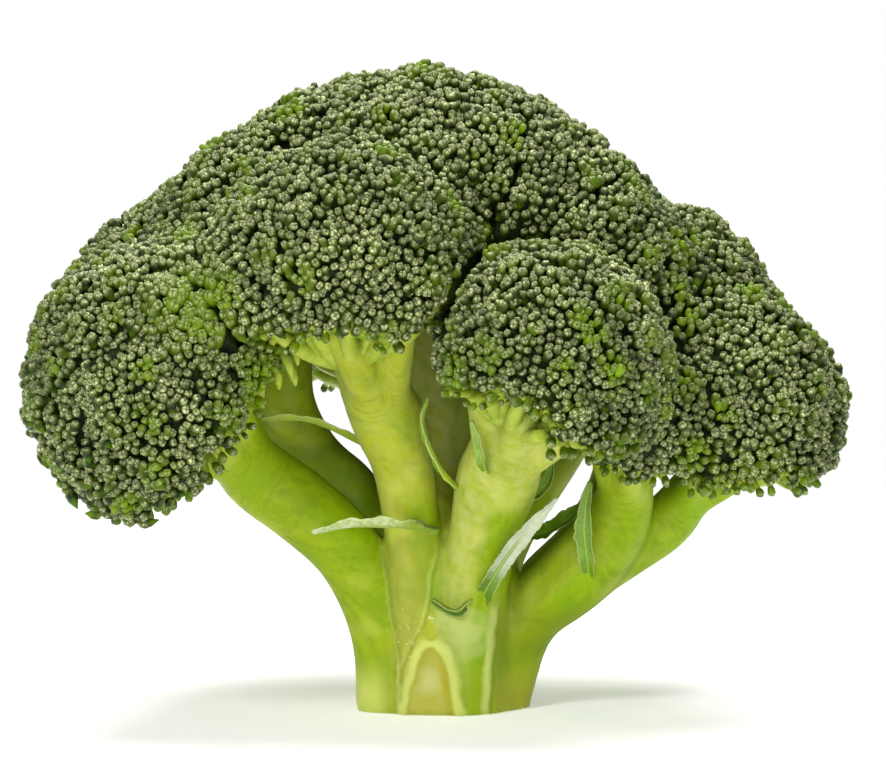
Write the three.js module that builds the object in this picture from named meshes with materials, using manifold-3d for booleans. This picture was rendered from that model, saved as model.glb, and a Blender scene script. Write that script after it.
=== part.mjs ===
// A head of broccoli, standing on the cut end of its stalk. Millimetres, +Z up, with the origin at the
// middle of the cut face.
//
// The stalk and all its branches grew as one body, so they are one mesh. Each floret is a dome of flower
// buds at the end of its own branch, pressed flat against the florets beside it. A few small leaves are
// left on the branches. Buds are raised from each dome by a formula, and drawn larger than life.
import * as THREE from "three";
import { ConvexHull } from "three/addons/math/ConvexHull.js";
import { mergeVertices } from "three/addons/utils/BufferGeometryUtils.js";
import Module from "manifold-3d";

const wasm = await Module();
wasm.setup();

// ---- Driving dimensions ----
const GAP = 0.3; // left between two pieces that touch
const BUD_PITCH = 4.9; // from one bud to the next
const BUD_HEIGHT = 2.3; // from the dip between buds to a tip
const SPRAY_PITCH = 11; // a floret's buds stand in small sprays this far apart
const SPRAY_SWELL = 1.6; // the middle of a spray stands this far above its edge
const UNDERSIDE = [
  // rings of the smooth underside: degrees past the rim, the share of the dome's radius, and points
  [10, 0.74, 15],
  [36, 0.46, 9],
];
const UNDERSIDE_DEPTH = 0.36; // the middle of the underside, as a share of the dome's radius
const NECK = 0.45; // a branch ends this share of the radius below the dome's centre
const NECK_WIDTH = 0.6; // how thick it still is there, as a share of its thickness before
const FINGERS = 6; // short side branches under each floret
const FINGER_ANGLE = 20; // degrees past the rim that they reach the underside at
const FINGER_REACH = 0.5; // as a share of the floret's radius
const LEAF_THICKNESS = 0.7;
const GOLDEN_ANGLE = Math.PI * (3 - Math.sqrt(5));

// The trunk that all the branches leave, as [x, y, z, radius] upwards.
const TRUNK = [
  [0, 0, -4, 16.6],
  [0, 0, 10, 16.2],
  [0, -1, 24, 15.5],
  [0, -1, 35, 12.5],
  [0, 0, 44, 7],
];

const BUD_GREEN = 0x55693c;
const STALK_GREEN = 0x9db53f;
const LEAF_GREEN = 0x7c9a4a;

// Each floret: the centre of its dome, its radius to the bud tips, the way it faces, how far from its top
// the buds go in degrees, and the branch below it. A branch runs through [x, y, z, radius], from the cut
// end or the limb that it leaves, up to where it fans out into fingers.
const FLORETS = {
  left: {
    centre: [-53.8, -30, 67],
    radius: 28,
    facing: [-0.77, -0.23, 0.59],
    rim: 118,
    branch: [
      [-11.4, -6, -4, 6],
      [-11.6, -7, 12, 6.2],
      [-14, -9, 22.6, 6.6],
      [-19.2, -12, 32.8, 7],
      [-27.6, -15, 41, 7.2],
      [-37, -17, 48.4, 7],
    ],
  },
  left_high: {
    centre: [-53.5, 9, 76],
    radius: 24.8,
    facing: [-0.7, 0.1, 0.7],
    rim: 90,
    branch: [
      [-9.7, 1, -4, 5.5],
      [-10.2, 1, 17, 5.5],
      [-13.8, 2, 31.5, 6.5],
      [-19.3, 2.5, 42, 7],
      [-28.5, 5, 49.5, 6.6],
    ],
  },
  left_shoulder: {
    centre: [-33, -2, 88],
    radius: 28,
    facing: [-0.3, -0.1, 0.95],
    rim: 84,
    branch: [
      [-17, 4, 38, 5.5],
      [-25, 4, 48.5, 5.5],
      [-31, 3, 60, 5.5],
    ],
  },
  front_left: {
    centre: [-18.8, -35, 85.2],
    radius: 28.3,
    facing: [-0.08, -0.27, 0.96],
    rim: 91,
    branch: [
      [-3.6, -9, -4, 6],
      [-3.8, -10, 14.3, 6],
      [-4.9, -12, 26.5, 5.8],
      [-6.3, -15, 38.7, 5.6],
      [-8, -19, 50.8, 6.2],
      [-11, -24, 60, 7.2],
    ],
  },
  front_right: {
    centre: [19.2, -44, 70],
    radius: 25,
    facing: [0.38, -0.42, 0.82],
    rim: 95,
    branch: [
      [5, -9, -4, 6],
      [5.4, -10, 14.3, 6.3],
      [6.1, -13, 24.6, 6.6],
      [8.2, -18, 37, 6.9],
      [11, -26, 49, 8],
    ],
  },
  right_low: {
    centre: [38.1, -26, 58.1],
    radius: 17,
    facing: [0.15, -0.5, 0.85],
    rim: 95,
    branch: [
      [11.4, -3, -4, 4.5],
      [12.8, -4, 10.6, 5.2],
      [17.6, -6, 19.5, 6.6],
      [25.6, -9, 26.8, 7.4],
      [31.5, -12, 34, 7],
      [35, -16, 41, 6.2],
    ],
  },
  right: {
    centre: [54.8, -12, 59.2],
    radius: 25.3,
    facing: [0.25, -0.45, 0.86],
    rim: 96,
    branch: [
      [11.4, -2, -4, 4.5],
      [17.8, -5, 19.5, 5.9],
      [27, -8, 26.5, 5.9],
      [36.1, -8, 31.8, 5.4],
      [45.5, -8, 39, 5.4],
    ],
  },
  right_high: {
    centre: [42.5, 4, 76.5],
    radius: 25,
    facing: [0.6, 0, 0.8],
    rim: 86,
    branch: [
      [6, 3, 8, 5],
      [9.4, 3.5, 22, 4.6],
      [14.4, 4, 35, 4.4],
      [23.5, 5, 50, 4.6],
    ],
  },
  right_shoulder: {
    centre: [25, -12, 85],
    radius: 24.5,
    facing: [0.35, -0.2, 0.92],
    rim: 84,
    branch: [
      [2, 0, 40, 6],
      [9, -3, 53, 5.4],
      [15, -6, 63, 5.4],
    ],
  },
  top_right: {
    centre: [15, -8, 94],
    radius: 26,
    facing: [0.2, -0.15, 0.97],
    rim: 84,
    branch: [
      [1, 0, 46, 6],
      [6, -3, 60, 5.4],
      [9, -4, 70, 5.4],
    ],
  },
  top_back: {
    centre: [6.5, 14, 97],
    radius: 28.5,
    facing: [0.1, 0.2, 0.97],
    rim: 84,
    branch: [
      [1, 2, 46, 6],
      [4, 7, 60, 5.4],
      [5.5, 9.5, 71, 5.4],
    ],
  },
  top: {
    centre: [-2.6, -8, 99],
    radius: 29,
    facing: [0, -0.15, 1],
    rim: 84,
    branch: [
      [0, 0, -4, 9],
      [0, 1, 30, 9],
      [0, 1, 52, 8.2],
      [-1, -2.5, 68, 7],
    ],
  },
  top_left: {
    centre: [-16.5, 4, 97],
    radius: 29,
    facing: [-0.2, 0.05, 0.98],
    rim: 84,
    branch: [
      [-1, 1, 44, 6],
      [-6, 2.5, 58, 5.5],
      [-9.5, 3, 70, 5.5],
    ],
  },
  top_far: {
    centre: [-6, 32, 87],
    radius: 30,
    facing: [0, 0.45, 0.89],
    rim: 84,
    branch: [
      [0, 3, 32, 6.5],
      [-2, 12, 48, 6],
      [-4, 19, 61, 6],
    ],
  },
  back_left: {
    centre: [-42, 34, 70],
    radius: 28,
    facing: [-0.62, 0.45, 0.64],
    rim: 90,
    branch: [
      [-7, 8, -4, 5.5],
      [-12, 10, 13, 5.5],
      [-16.5, 15, 24, 6],
      [-24, 20, 36, 6.6],
      [-30, 24, 48, 6.8],
    ],
  },
  back_mid_left: {
    centre: [-15, 47, 76],
    radius: 28,
    facing: [-0.12, 0.62, 0.78],
    rim: 86,
    branch: [
      [-3, 9, -4, 5.8],
      [-4, 13, 20, 5.8],
      [-6, 22, 36, 6],
      [-8, 30, 50, 6.2],
    ],
  },
  back_mid_right: {
    centre: [18, 42, 76],
    radius: 29,
    facing: [0.22, 0.62, 0.75],
    rim: 92,
    branch: [
      [4, 9, -4, 5.8],
      [5, 13, 20, 5.8],
      [8, 20, 36, 6],
      [11, 26, 50, 6.4],
    ],
  },
  back_right: {
    centre: [44, 32, 63],
    radius: 27,
    facing: [0.6, 0.42, 0.68],
    rim: 95,
    branch: [
      [9, 7, -4, 5.5],
      [14, 9, 13, 5.6],
      [20, 15, 22, 6],
      [30, 20, 31, 6.4],
      [36, 24, 41, 6.4],
    ],
  },
};

// Each leaf: its midrib from root to tip, the half-width along it, and the way its edge points.
const LEAVES = {
  leaf_across: {
    rib: [
      [-1.2, -18.4, 36.6],
      [-8.3, -24.5, 38.4],
      [-18, -27, 38.9],
      [-25.4, -28, 37.6],
    ],
    half_width: [1, 1.9, 1.7, 0.4],
    edge: [-0.1, 0.9, -0.45],
  },
  leaf_pale: {
    rib: [
      [5.4, -14, 18.4],
      [9.4, -22, 27.4],
      [14.2, -26, 35],
      [18.1, -28.5, 39.8],
      [22, -30, 44.2],
    ],
    half_width: [1.9, 2, 1.7, 1.8, 1.5, 0.3],
    edge: [0.85, 0.1, -0.5],
  },
  leaf_collar: {
    rib: [
      [6.6, -17.6, 25.6],
      [2.9, -19.9, 21],
      [-2.2, -17.8, 23],
    ],
    half_width: [1, 1.2, 0.4],
    edge: [0.1, -0.8, 0.6],
  },
  leaf_upright: {
    rib: [
      [29.4, -12.5, 23],
      [28.2, -19.5, 31.2],
      [27.5, -22, 37.3],
      [27.9, -23, 42.8],
      [28.6, -23, 46.8],
    ],
    half_width: [0.4, 0.9, 1.7, 2, 1.5, 0.6],
    edge: [0.9, -0.4, 0.1],
  },
  leaf_hook: {
    rib: [
      [4, -25, 44.4],
      [-0.4, -29.5, 49.4],
      [-2.9, -32, 54.6],
      [-4.2, -33, 59.6],
      [-3.1, -32, 63.8],
    ],
    half_width: [0.6, 0.9, 0.8, 0.8, 0.4],
    edge: [0.25, -0.95, -0.1],
  },
  leaf_strap: {
    rib: [
      [-11.4, -17, 52],
      [-17.5, -15, 54.8],
      [-22, -14, 57],
      [-28, -14, 58.8],
      [-38, -15, 58.4],
    ],
    half_width: [0.8, 1, 0.9, 0.9, 0.5],
    edge: [-0.03, 0.95, -0.25],
  },
  leaf_flap: {
    rib: [
      [8.8, -32.5, 48.4],
      [7.4, -37.9, 51.6],
      [6.9, -40.5, 54.6],
      [6.4, -42.9, 57.2],
      [5.2, -45, 60],
    ],
    half_width: [0.6, 1, 1, 0.9, 0.4],
    edge: [0.8, -0.55, -0.25],
  },
  leaf_inner: {
    rib: [
      [14.8, -19.5, 40.6],
      [18, -18.5, 43.6],
      [20.6, -19, 47],
      [21.4, -19.5, 51],
    ],
    half_width: [0.7, 1.4, 1.4, 0.5],
    edge: [0.8, -0.5, -0.1],
  },
  leaf_low: {
    rib: [
      [16, 1, 33.6],
      [21, -3, 35.4],
      [25.3, -6, 38.5],
      [30, -8, 43],
    ],
    half_width: [1.2, 2, 1.8, 0.6],
    edge: [0.3, -0.75, -0.5],
  },
  leaf_back_left: {
    rib: [
      [-13, 21, 28],
      [-16, 28, 33],
      [-19, 32, 39],
      [-21, 33, 46],
    ],
    half_width: [1.8, 2.4, 2.1, 0.6],
    edge: [0.8, 0.5, 0.1],
  },
  leaf_back: {
    rib: [
      [1, 18, 27],
      [1.5, 27, 34],
      [1, 33, 41],
      [0, 36, 48],
    ],
    half_width: [2.2, 3, 2.6, 0.6],
    edge: [0.95, 0, 0.2],
  },
  leaf_back_right: {
    rib: [
      [25, 23, 25],
      [31, 30, 30],
      [34, 33, 37],
      [34, 33, 43],
    ],
    half_width: [1.4, 2.2, 2, 0.6],
    edge: [0.7, -0.6, 0.1],
  },
};

// ---- Shared helpers ----

// The same even draw from 0 to 1 each time, for a whole number n.
function chance(n) {
  const wave = Math.sin(n * 12.9898 + 78.233) * 43758.5453;
  return wave - Math.floor(wave);
}

const vector = (array) => new THREE.Vector3(...array);

// A closed mesh, given as points and triangles that share them, as a solid.
function solidOf(points, triangles) {
  const vertProperties = new Float32Array(points.flatMap((p) => [p.x, p.y, p.z]));
  const triVerts = new Uint32Array(triangles.flat());
  return new wasm.Manifold(new wasm.Mesh({ numProp: 3, vertProperties, triVerts }));
}

function meshOf(name, solid, colour, roughness) {
  const made = solid.getMesh();
  const geometry = new THREE.BufferGeometry();
  geometry.setAttribute("position", new THREE.BufferAttribute(made.vertProperties, 3));
  geometry.setIndex(new THREE.BufferAttribute(made.triVerts, 1));
  const material = new THREE.MeshStandardMaterial({ color: colour, roughness, metalness: 0 });
  const mesh = new THREE.Mesh(geometry, material);
  mesh.name = name;
  return mesh;
}

// Cuts can leave a scrap beside the piece. Only the largest body is kept.
function largestBody(solid) {
  return solid.decompose().reduce((best, body) => (body.volume() > best.volume() ? body : best));
}

// A block below the cut end, to cut the stalk off flat.
const groundBlock = new THREE.BoxGeometry(200, 200, 40).translate(0, 0, -20);
groundBlock.deleteAttribute("normal");
groundBlock.deleteAttribute("uv");
const groundCorners = mergeVertices(groundBlock);
const ground = new wasm.Manifold(
  new wasm.Mesh({
    numProp: 3,
    vertProperties: groundCorners.attributes.position.array,
    triVerts: new Uint32Array(groundCorners.index.array),
  }),
);

// The triangles of the smallest convex body round some points, as their places in the list.
function hullTriangles(points) {
  const place = new Map(points.map((point, n) => [point, n]));
  return new ConvexHull().setFromPoints(points).faces.map((face) => {
    const first = face.edge;
    return [first, first.next, first.next.next].map((edge) => place.get(edge.head().point));
  });
}

// ---- Florets ----

const florets = Object.entries(FLORETS).map(([name, given], order) => ({
  ...given,
  name,
  centre: vector(given.centre),
  facing: vector(given.facing).normalize(),
  rim: THREE.MathUtils.degToRad(given.rim),
  seed: 1000 * (order + 1),
}));

// A direction at an angle from an axis, turned round it.
function direction(axis, angle, turn) {
  const first = new THREE.Vector3().crossVectors(axis, new THREE.Vector3(0.1, 1, 0.3)).normalize();
  const second = new THREE.Vector3().crossVectors(axis, first);
  return axis
    .clone()
    .multiplyScalar(Math.cos(angle))
    .addScaledVector(first, Math.sin(angle) * Math.cos(turn))
    .addScaledVector(second, Math.sin(angle) * Math.sin(turn));
}

// Directions over a dome from its top to the rim, on the spiral that buds grow in, a little out of place.
function spiral(floret, pitch, seed) {
  const area = 2 * Math.PI * floret.radius ** 2 * (1 - Math.cos(floret.rim));
  const count = Math.round(area / (0.866 * pitch * pitch));
  return Array.from({ length: count }, (_, n) => {
    const angle = Math.acos(1 - ((n + 0.5) / count) * (1 - Math.cos(floret.rim)));
    const nudge = (chance(seed + 2 * n) - 0.5) * 0.35 * (pitch / floret.radius);
    const turn = n * GOLDEN_ANGLE + (chance(seed + 2 * n + 1) - 0.5) * 0.25;
    return direction(floret.facing, THREE.MathUtils.clamp(angle + nudge, 0, floret.rim), turn);
  });
}

// Two florets that meet are flattened against each other, along the plane where their domes cross.
for (const floret of florets) {
  floret.sprays = spiral(floret, SPRAY_PITCH, floret.seed);
  floret.contacts = florets.flatMap((other) => {
    const normal = other.centre.clone().sub(floret.centre);
    const apart = normal.length();
    if (other === floret || apart > floret.radius + other.radius) return [];
    const distance = (apart ** 2 + floret.radius ** 2 - other.radius ** 2) / (2 * apart);
    return [{ normal: normal.normalize(), distance: distance - GAP / 2 }];
  });
}

// How far the bud tips stand from the dome's centre: highest at the middle of each spray.
function tipRadius(floret, way) {
  const nearest = Math.min(...floret.sprays.map((spray) => spray.angleTo(way)));
  const share = (2 * nearest * floret.radius) / SPRAY_PITCH / 1.2;
  return floret.radius - SPRAY_SWELL * Math.min(1, share * share);
}

// The most that a floret can reach in a direction before it meets another one.
function contactRadius(floret, way) {
  return Math.min(...floret.contacts.map(({ normal, distance }) => {
    const lean = normal.dot(way);
    return lean > 1e-6 ? distance / lean : Infinity;
  }), Infinity);
}

// The points of a floret's skin: its underside, the edge and middle of each flat, and its bud tips.
function skinPoints(floret) {
  const points = [];
  const add = (way, radius, bud, room) => {
    if (points.some((point) => point.way.angleTo(way) < (room * BUD_PITCH) / floret.radius)) return;
    points.push({ way, radius: Math.min(radius, contactRadius(floret, way)), bud });
  };
  add(floret.facing.clone().negate(), UNDERSIDE_DEPTH * floret.radius, false, 0);
  for (const [past, share, count] of UNDERSIDE)
    for (let n = 0; n < count; n++) {
      const turn = (n * 2 * Math.PI) / count + past;
      const way = direction(floret.facing, floret.rim + THREE.MathUtils.degToRad(past), turn);
      add(way, share * floret.radius, false, 0);
    }
  const aboveRim = (way) => floret.facing.angleTo(way) < floret.rim;
  for (const { normal, distance } of floret.contacts) {
    const angle = Math.acos(THREE.MathUtils.clamp(distance / floret.radius, -1, 1));
    const count = Math.max(3, Math.round((2 * Math.PI * Math.sin(angle) * floret.radius) / BUD_PITCH));
    for (let n = 0; n < count; n++) {
      const way = direction(normal, angle, (n * 2 * Math.PI) / count);
      if (aboveRim(way)) add(way, floret.radius - BUD_HEIGHT, false, 0.6);
    }
    if (aboveRim(normal)) add(normal, floret.radius, false, 0.6);
  }
  for (const way of spiral(floret, BUD_PITCH, floret.seed + 500)) {
    const radius = tipRadius(floret, way);
    if (contactRadius(floret, way) > radius - BUD_HEIGHT / 2) add(way, radius, true, 0.45);
  }
  return points;
}

// A floret's solid. Each bud is a blunt cone: its tip is a point on the dome, and the dips round it lie
// between three tips.
function floretSolid(floret) {
  const skin = skinPoints(floret);
  const ways = skin.map((point) => point.way);
  const points = skin.map(({ way, radius }) => floret.centre.clone().addScaledVector(way, radius));
  const faces = hullTriangles(ways);
  const faceOf = new Map(faces.flatMap((face, f) => face.map((a, n) => [a + "-" + face[(n + 1) % 3], f])));
  const dips = faces.map((face) => {
    if (!face.every((n) => skin[n].bud)) return null;
    const way = new THREE.Vector3();
    face.forEach((n) => way.add(ways[n]));
    way.normalize();
    const level = Math.min(...face.map((n) => skin[n].radius)) - BUD_HEIGHT;
    points.push(floret.centre.clone().addScaledVector(way, level));
    return points.length - 1;
  });
  const triangles = faces.flatMap((face, f) => {
    const dip = dips[f];
    if (dip === null) return [face];
    return face.flatMap((a, n) => {
      const b = face[(n + 1) % 3];
      const across = dips[faceOf.get(b + "-" + a)];
      if (across === null) return [[a, b, dip]];
      return a < b ? [[a, across, dip], [b, dip, across]] : [];
    });
  });
  return solidOf(points, triangles);
}

// A convex body that a floret fits in, with a little room all round, to cut other pieces clear of it.
function roomFor(floret) {
  const points = skinPoints(floret).map(({ way, radius }) =>
    floret.centre.clone().addScaledVector(way, radius + GAP),
  );
  return solidOf(points, hullTriangles(points));
}

// ---- Stalk ----

// A tapering round limb through a line of points, swollen by spare.
function limb(line, radii, sides, spacing, spare) {
  const curve = new THREE.CatmullRomCurve3(line, false, "centripetal");
  const segments = Math.max(1, Math.round(curve.getLength() / spacing));
  const frames = curve.computeFrenetFrames(segments);
  const radiusAt = (u) => {
    const t = curve.getUtoTmapping(u) * (radii.length - 1);
    const n = Math.min(radii.length - 2, Math.floor(t));
    return THREE.MathUtils.lerp(radii[n], radii[n + 1], t - n) + spare;
  };
  const points = [];
  const triangles = [];
  for (let ring = 0; ring <= segments; ring++) {
    const centre = curve.getPointAt(ring / segments);
    const radius = radiusAt(ring / segments);
    for (let side = 0; side < sides; side++) {
      const turn = (side * 2 * Math.PI) / sides;
      points.push(
        centre
          .clone()
          .addScaledVector(frames.normals[ring], radius * Math.cos(turn))
          .addScaledVector(frames.binormals[ring], radius * Math.sin(turn)),
      );
      if (ring === segments) continue;
      const [a, b] = [ring * sides + side, ring * sides + ((side + 1) % sides)];
      triangles.push([a, b, b + sides], [a, b + sides, a + sides]);
    }
  }
  points.push(line[0], line[line.length - 1].clone().addScaledVector(frames.tangents[segments], 0.4 * radiusAt(1)));
  const last = segments * sides;
  for (let side = 0; side < sides; side++) {
    const next = (side + 1) % sides;
    triangles.push([next, side, last + sides]);
    triangles.push([last + side, last + next, last + sides + 1]);
  }
  return solidOf(points, triangles);
}

// The whole stalk: the trunk, and for each floret a branch and the fingers that fan out from its neck.
function stalkSolid(spare) {
  const trunkLine = TRUNK.map(([x, y, z]) => new THREE.Vector3(x, y, z));
  let solid = limb(trunkLine, TRUNK.map(([, , , radius]) => radius), 14, 14, spare);
  for (const floret of florets) {
    const neck = floret.centre.clone().addScaledVector(floret.facing, -NECK * floret.radius);
    const line = [...floret.branch.map(([x, y, z]) => new THREE.Vector3(x, y, z)), neck];
    const radii = floret.branch.map(([, , , radius]) => radius);
    const last = radii[radii.length - 1];
    solid = solid.add(limb(line, [...radii, NECK_WIDTH * last], 8, 14, spare));
    for (let n = 0; n < FINGERS; n++) {
      const turn = ((n + 0.5) * 2 * Math.PI) / FINGERS;
      const way = direction(floret.facing, floret.rim + THREE.MathUtils.degToRad(FINGER_ANGLE), turn);
      const tip = floret.centre.clone().addScaledVector(way, FINGER_REACH * floret.radius);
      if (florets.some((other) => other !== floret && other.centre.distanceTo(tip) < other.radius)) continue;
      const root = line[line.length - 2].clone().lerp(neck, 0.1);
      solid = solid.add(limb([root, tip], [0.68 * last, 0.42 * last], 5, 60, spare));
    }
  }
  return solid.subtract(ground);
}

// ---- Leaves ----

// A thin blade along a midrib, with notched edges that curl up, and both faces split alike.
function leafSolid({ rib, half_width, edge }) {
  const steps = 6;
  const curve = new THREE.CatmullRomCurve3(rib.map(vector));
  const widthAt = (t) => {
    const place = t * (half_width.length - 1);
    const n = Math.min(half_width.length - 2, Math.floor(place));
    return THREE.MathUtils.lerp(half_width[n], half_width[n + 1], place - n);
  };
  const points = [];
  for (let n = 0; n <= steps; n++) {
    const t = n / steps;
    const along = curve.getTangentAt(t);
    const across = vector(edge).addScaledVector(along, -vector(edge).dot(along)).normalize();
    const up = new THREE.Vector3().crossVectors(across, along);
    const notch = n % 2 ? 1 : 0.8;
    for (const side of [-1, 0, 1])
      for (const face of [0.5, -0.5])
        points.push(
          curve
            .getPointAt(t)
            .addScaledVector(across, side * notch * widthAt(t))
            .addScaledVector(up, face * LEAF_THICKNESS + 0.35 * Math.abs(side) * widthAt(t)),
        );
  }
  const at = (n, side, face) => 6 * n + 2 * side + face;
  const quads = [];
  for (let n = 0; n < steps; n++) {
    for (const side of [0, 1]) {
      quads.push([at(n, side, 0), at(n, side + 1, 0), at(n + 1, side + 1, 0), at(n + 1, side, 0)]);
      quads.push([at(n + 1, side, 1), at(n + 1, side + 1, 1), at(n, side + 1, 1), at(n, side, 1)]);
    }
    quads.push([at(n, 0, 1), at(n, 0, 0), at(n + 1, 0, 0), at(n + 1, 0, 1)]);
    quads.push([at(n, 2, 0), at(n, 2, 1), at(n + 1, 2, 1), at(n + 1, 2, 0)]);
  }
  for (const side of [0, 1]) {
    quads.push([at(0, side, 1), at(0, side + 1, 1), at(0, side + 1, 0), at(0, side, 0)]);
    quads.push([at(steps, side, 0), at(steps, side + 1, 0), at(steps, side + 1, 1), at(steps, side, 1)]);
  }
  const triangles = quads.flatMap(([a, b, c, d], n) =>
    // the lower face lists its corners the other way round, so its diagonal is swapped to match
    n % 2 ? [[b, c, d], [b, d, a]] : [[a, b, c], [a, c, d]],
  );
  return solidOf(points, triangles);
}

// ---- Assembly ----

const head = new THREE.Group();

for (const floret of florets) {
  head.add(meshOf("floret_" + floret.name, floretSolid(floret), BUD_GREEN, 0.7));
}

const clearOfFlorets = (solid) => florets.map(roomFor).reduce((left, room) => left.subtract(room), solid);
head.add(meshOf("stalk", largestBody(clearOfFlorets(stalkSolid(0))), STALK_GREEN, 0.45));

const roomForStalk = stalkSolid(GAP);
for (const [name, leaf] of Object.entries(LEAVES)) {
  const clear = clearOfFlorets(leafSolid(leaf).subtract(roomForStalk));
  head.add(meshOf(name, largestBody(clear), LEAF_GREEN, 0.6));
}

export default head;
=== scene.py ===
"""A whole head of broccoli, standing on its cut end. Sizes are in millimetres until a mesh is made."""

import math

import bpy
import numpy as np
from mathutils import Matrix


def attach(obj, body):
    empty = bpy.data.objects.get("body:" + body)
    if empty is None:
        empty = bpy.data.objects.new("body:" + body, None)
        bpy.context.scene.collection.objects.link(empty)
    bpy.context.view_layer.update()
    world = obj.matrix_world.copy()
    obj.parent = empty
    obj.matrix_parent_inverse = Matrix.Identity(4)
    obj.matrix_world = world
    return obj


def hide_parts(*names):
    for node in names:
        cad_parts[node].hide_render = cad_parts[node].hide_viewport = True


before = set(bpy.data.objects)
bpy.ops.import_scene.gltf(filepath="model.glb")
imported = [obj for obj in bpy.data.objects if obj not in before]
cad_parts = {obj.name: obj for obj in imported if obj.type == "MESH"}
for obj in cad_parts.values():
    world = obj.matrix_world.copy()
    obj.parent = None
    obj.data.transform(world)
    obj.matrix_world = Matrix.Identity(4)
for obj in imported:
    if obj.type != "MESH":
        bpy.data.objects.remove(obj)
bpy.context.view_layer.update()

# ---- The plan of the plant ----------------------------------------------------------------------------
# Where each floret sits on the plant, which way it faces, and the branch that carries it. The plant grew
# this way from one bud, so the stalk, the leaves and the florets below are all laid out on this plan.

FLORETS = {
    # name: (centre of the dome, radius to the bud tips, facing, degrees from its top to its rim,
    #        points of the branch below it, each with its radius)
    "left": ((-53.8, -30, 67), 28, (-0.77, -0.23, 0.59), 118, [
        (-11.4, -6, -4, 6), (-11.6, -7, 12, 6.2), (-14, -9, 22.6, 6.6), (-19.2, -12, 32.8, 7),
        (-27.6, -15, 41, 7.2), (-37, -17, 48.4, 7)]),
    "left_high": ((-53.5, 9, 76), 24.8, (-0.7, 0.1, 0.7), 90, [
        (-9.7, 1, -4, 5.5), (-10.2, 1, 17, 5.5), (-13.8, 2, 31.5, 6.5), (-19.3, 2.5, 42, 7),
        (-28.5, 5, 49.5, 6.6)]),
    "left_shoulder": ((-33, -2, 88), 28, (-0.3, -0.1, 0.95), 84, [
        (-17, 4, 38, 5.5), (-25, 4, 48.5, 5.5), (-31, 3, 60, 5.5)]),
    "front_left": ((-18.8, -35, 85.2), 28.3, (-0.08, -0.27, 0.96), 91, [
        (-3.6, -9, -4, 6), (-3.8, -10, 14.3, 6), (-4.9, -12, 26.5, 5.8), (-6.3, -15, 38.7, 5.6),
        (-8, -19, 50.8, 6.2), (-11, -24, 60, 7.2)]),
    "front_right": ((19.2, -44, 70), 25, (0.38, -0.42, 0.82), 95, [
        (5, -9, -4, 6), (5.4, -10, 14.3, 6.3), (6.1, -13, 24.6, 6.6), (8.2, -18, 37, 6.9),
        (11, -26, 49, 8)]),
    "right_low": ((38.1, -26, 58.1), 17, (0.15, -0.5, 0.85), 95, [
        (11.4, -3, -4, 4.5), (12.8, -4, 10.6, 5.2), (17.6, -6, 19.5, 6.6), (25.6, -9, 26.8, 7.4),
        (31.5, -12, 34, 7), (35, -16, 41, 6.2)]),
    "right": ((54.8, -12, 59.2), 25.3, (0.25, -0.45, 0.86), 96, [
        (11.4, -2, -4, 4.5), (17.8, -5, 19.5, 5.9), (27, -8, 26.5, 5.9), (36.1, -8, 31.8, 5.4),
        (45.5, -8, 39, 5.4)]),
    "right_high": ((42.5, 4, 76.5), 25, (0.6, 0, 0.8), 86, [
        (6, 3, 8, 5), (9.4, 3.5, 22, 4.6), (14.4, 4, 35, 4.4), (23.5, 5, 50, 4.6)]),
    "right_shoulder": ((25, -12, 85), 24.5, (0.35, -0.2, 0.92), 84, [
        (2, 0, 40, 6), (9, -3, 53, 5.4), (15, -6, 63, 5.4)]),
    "top_right": ((15, -8, 94), 26, (0.2, -0.15, 0.97), 84, [
        (1, 0, 46, 6), (6, -3, 60, 5.4), (9, -4, 70, 5.4)]),
    "top_back": ((6.5, 14, 97), 28.5, (0.1, 0.2, 0.97), 84, [
        (1, 2, 46, 6), (4, 7, 60, 5.4), (5.5, 9.5, 71, 5.4)]),
    "top": ((-2.6, -8, 99), 29, (0, -0.15, 1), 84, [
        (0, 0, -4, 9), (0, 1, 30, 9), (0, 1, 52, 8.2), (-1, -2.5, 68, 7)]),
    "top_left": ((-16.5, 4, 97), 29, (-0.2, 0.05, 0.98), 84, [
        (-1, 1, 44, 6), (-6, 2.5, 58, 5.5), (-9.5, 3, 70, 5.5)]),
    "top_far": ((-6, 32, 87), 30, (0, 0.45, 0.89), 84, [
        (0, 3, 32, 6.5), (-2, 12, 48, 6), (-4, 19, 61, 6)]),
    "back_left": ((-42, 34, 70), 28, (-0.62, 0.45, 0.64), 90, [
        (-7, 8, -4, 5.5), (-12, 10, 13, 5.5), (-16.5, 15, 24, 6), (-24, 20, 36, 6.6),
        (-30, 24, 48, 6.8)]),
    "back_mid_left": ((-15, 47, 76), 28, (-0.12, 0.62, 0.78), 86, [
        (-3, 9, -4, 5.8), (-4, 13, 20, 5.8), (-6, 22, 36, 6), (-8, 30, 50, 6.2)]),
    "back_mid_right": ((18, 42, 76), 29, (0.22, 0.62, 0.75), 92, [
        (4, 9, -4, 5.8), (5, 13, 20, 5.8), (8, 20, 36, 6), (11, 26, 50, 6.4)]),
    "back_right": ((44, 32, 63), 27, (0.6, 0.42, 0.68), 95, [
        (9, 7, -4, 5.5), (14, 9, 13, 5.6), (20, 15, 22, 6), (30, 20, 31, 6.4), (36, 24, 41, 6.4)]),
}
GAP = 0.3  # between florets that press on each other
SPRAY_PITCH = 11  # the width of one spray of buds
GOLDEN_ANGLE = math.pi * (3 - math.sqrt(5))
CLOSE_PACKED = 0.866  # the area that each of many even neighbours has, against the square of their pitch
NUDGE = 0.35  # how far each is out of place down the dome, against the pitch
TWIST = 0.25  # and round it, as an angle


def unit(vectors):
    """Each vector divided by its length."""
    return vectors / np.linalg.norm(vectors, axis=-1, keepdims=True)


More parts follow.
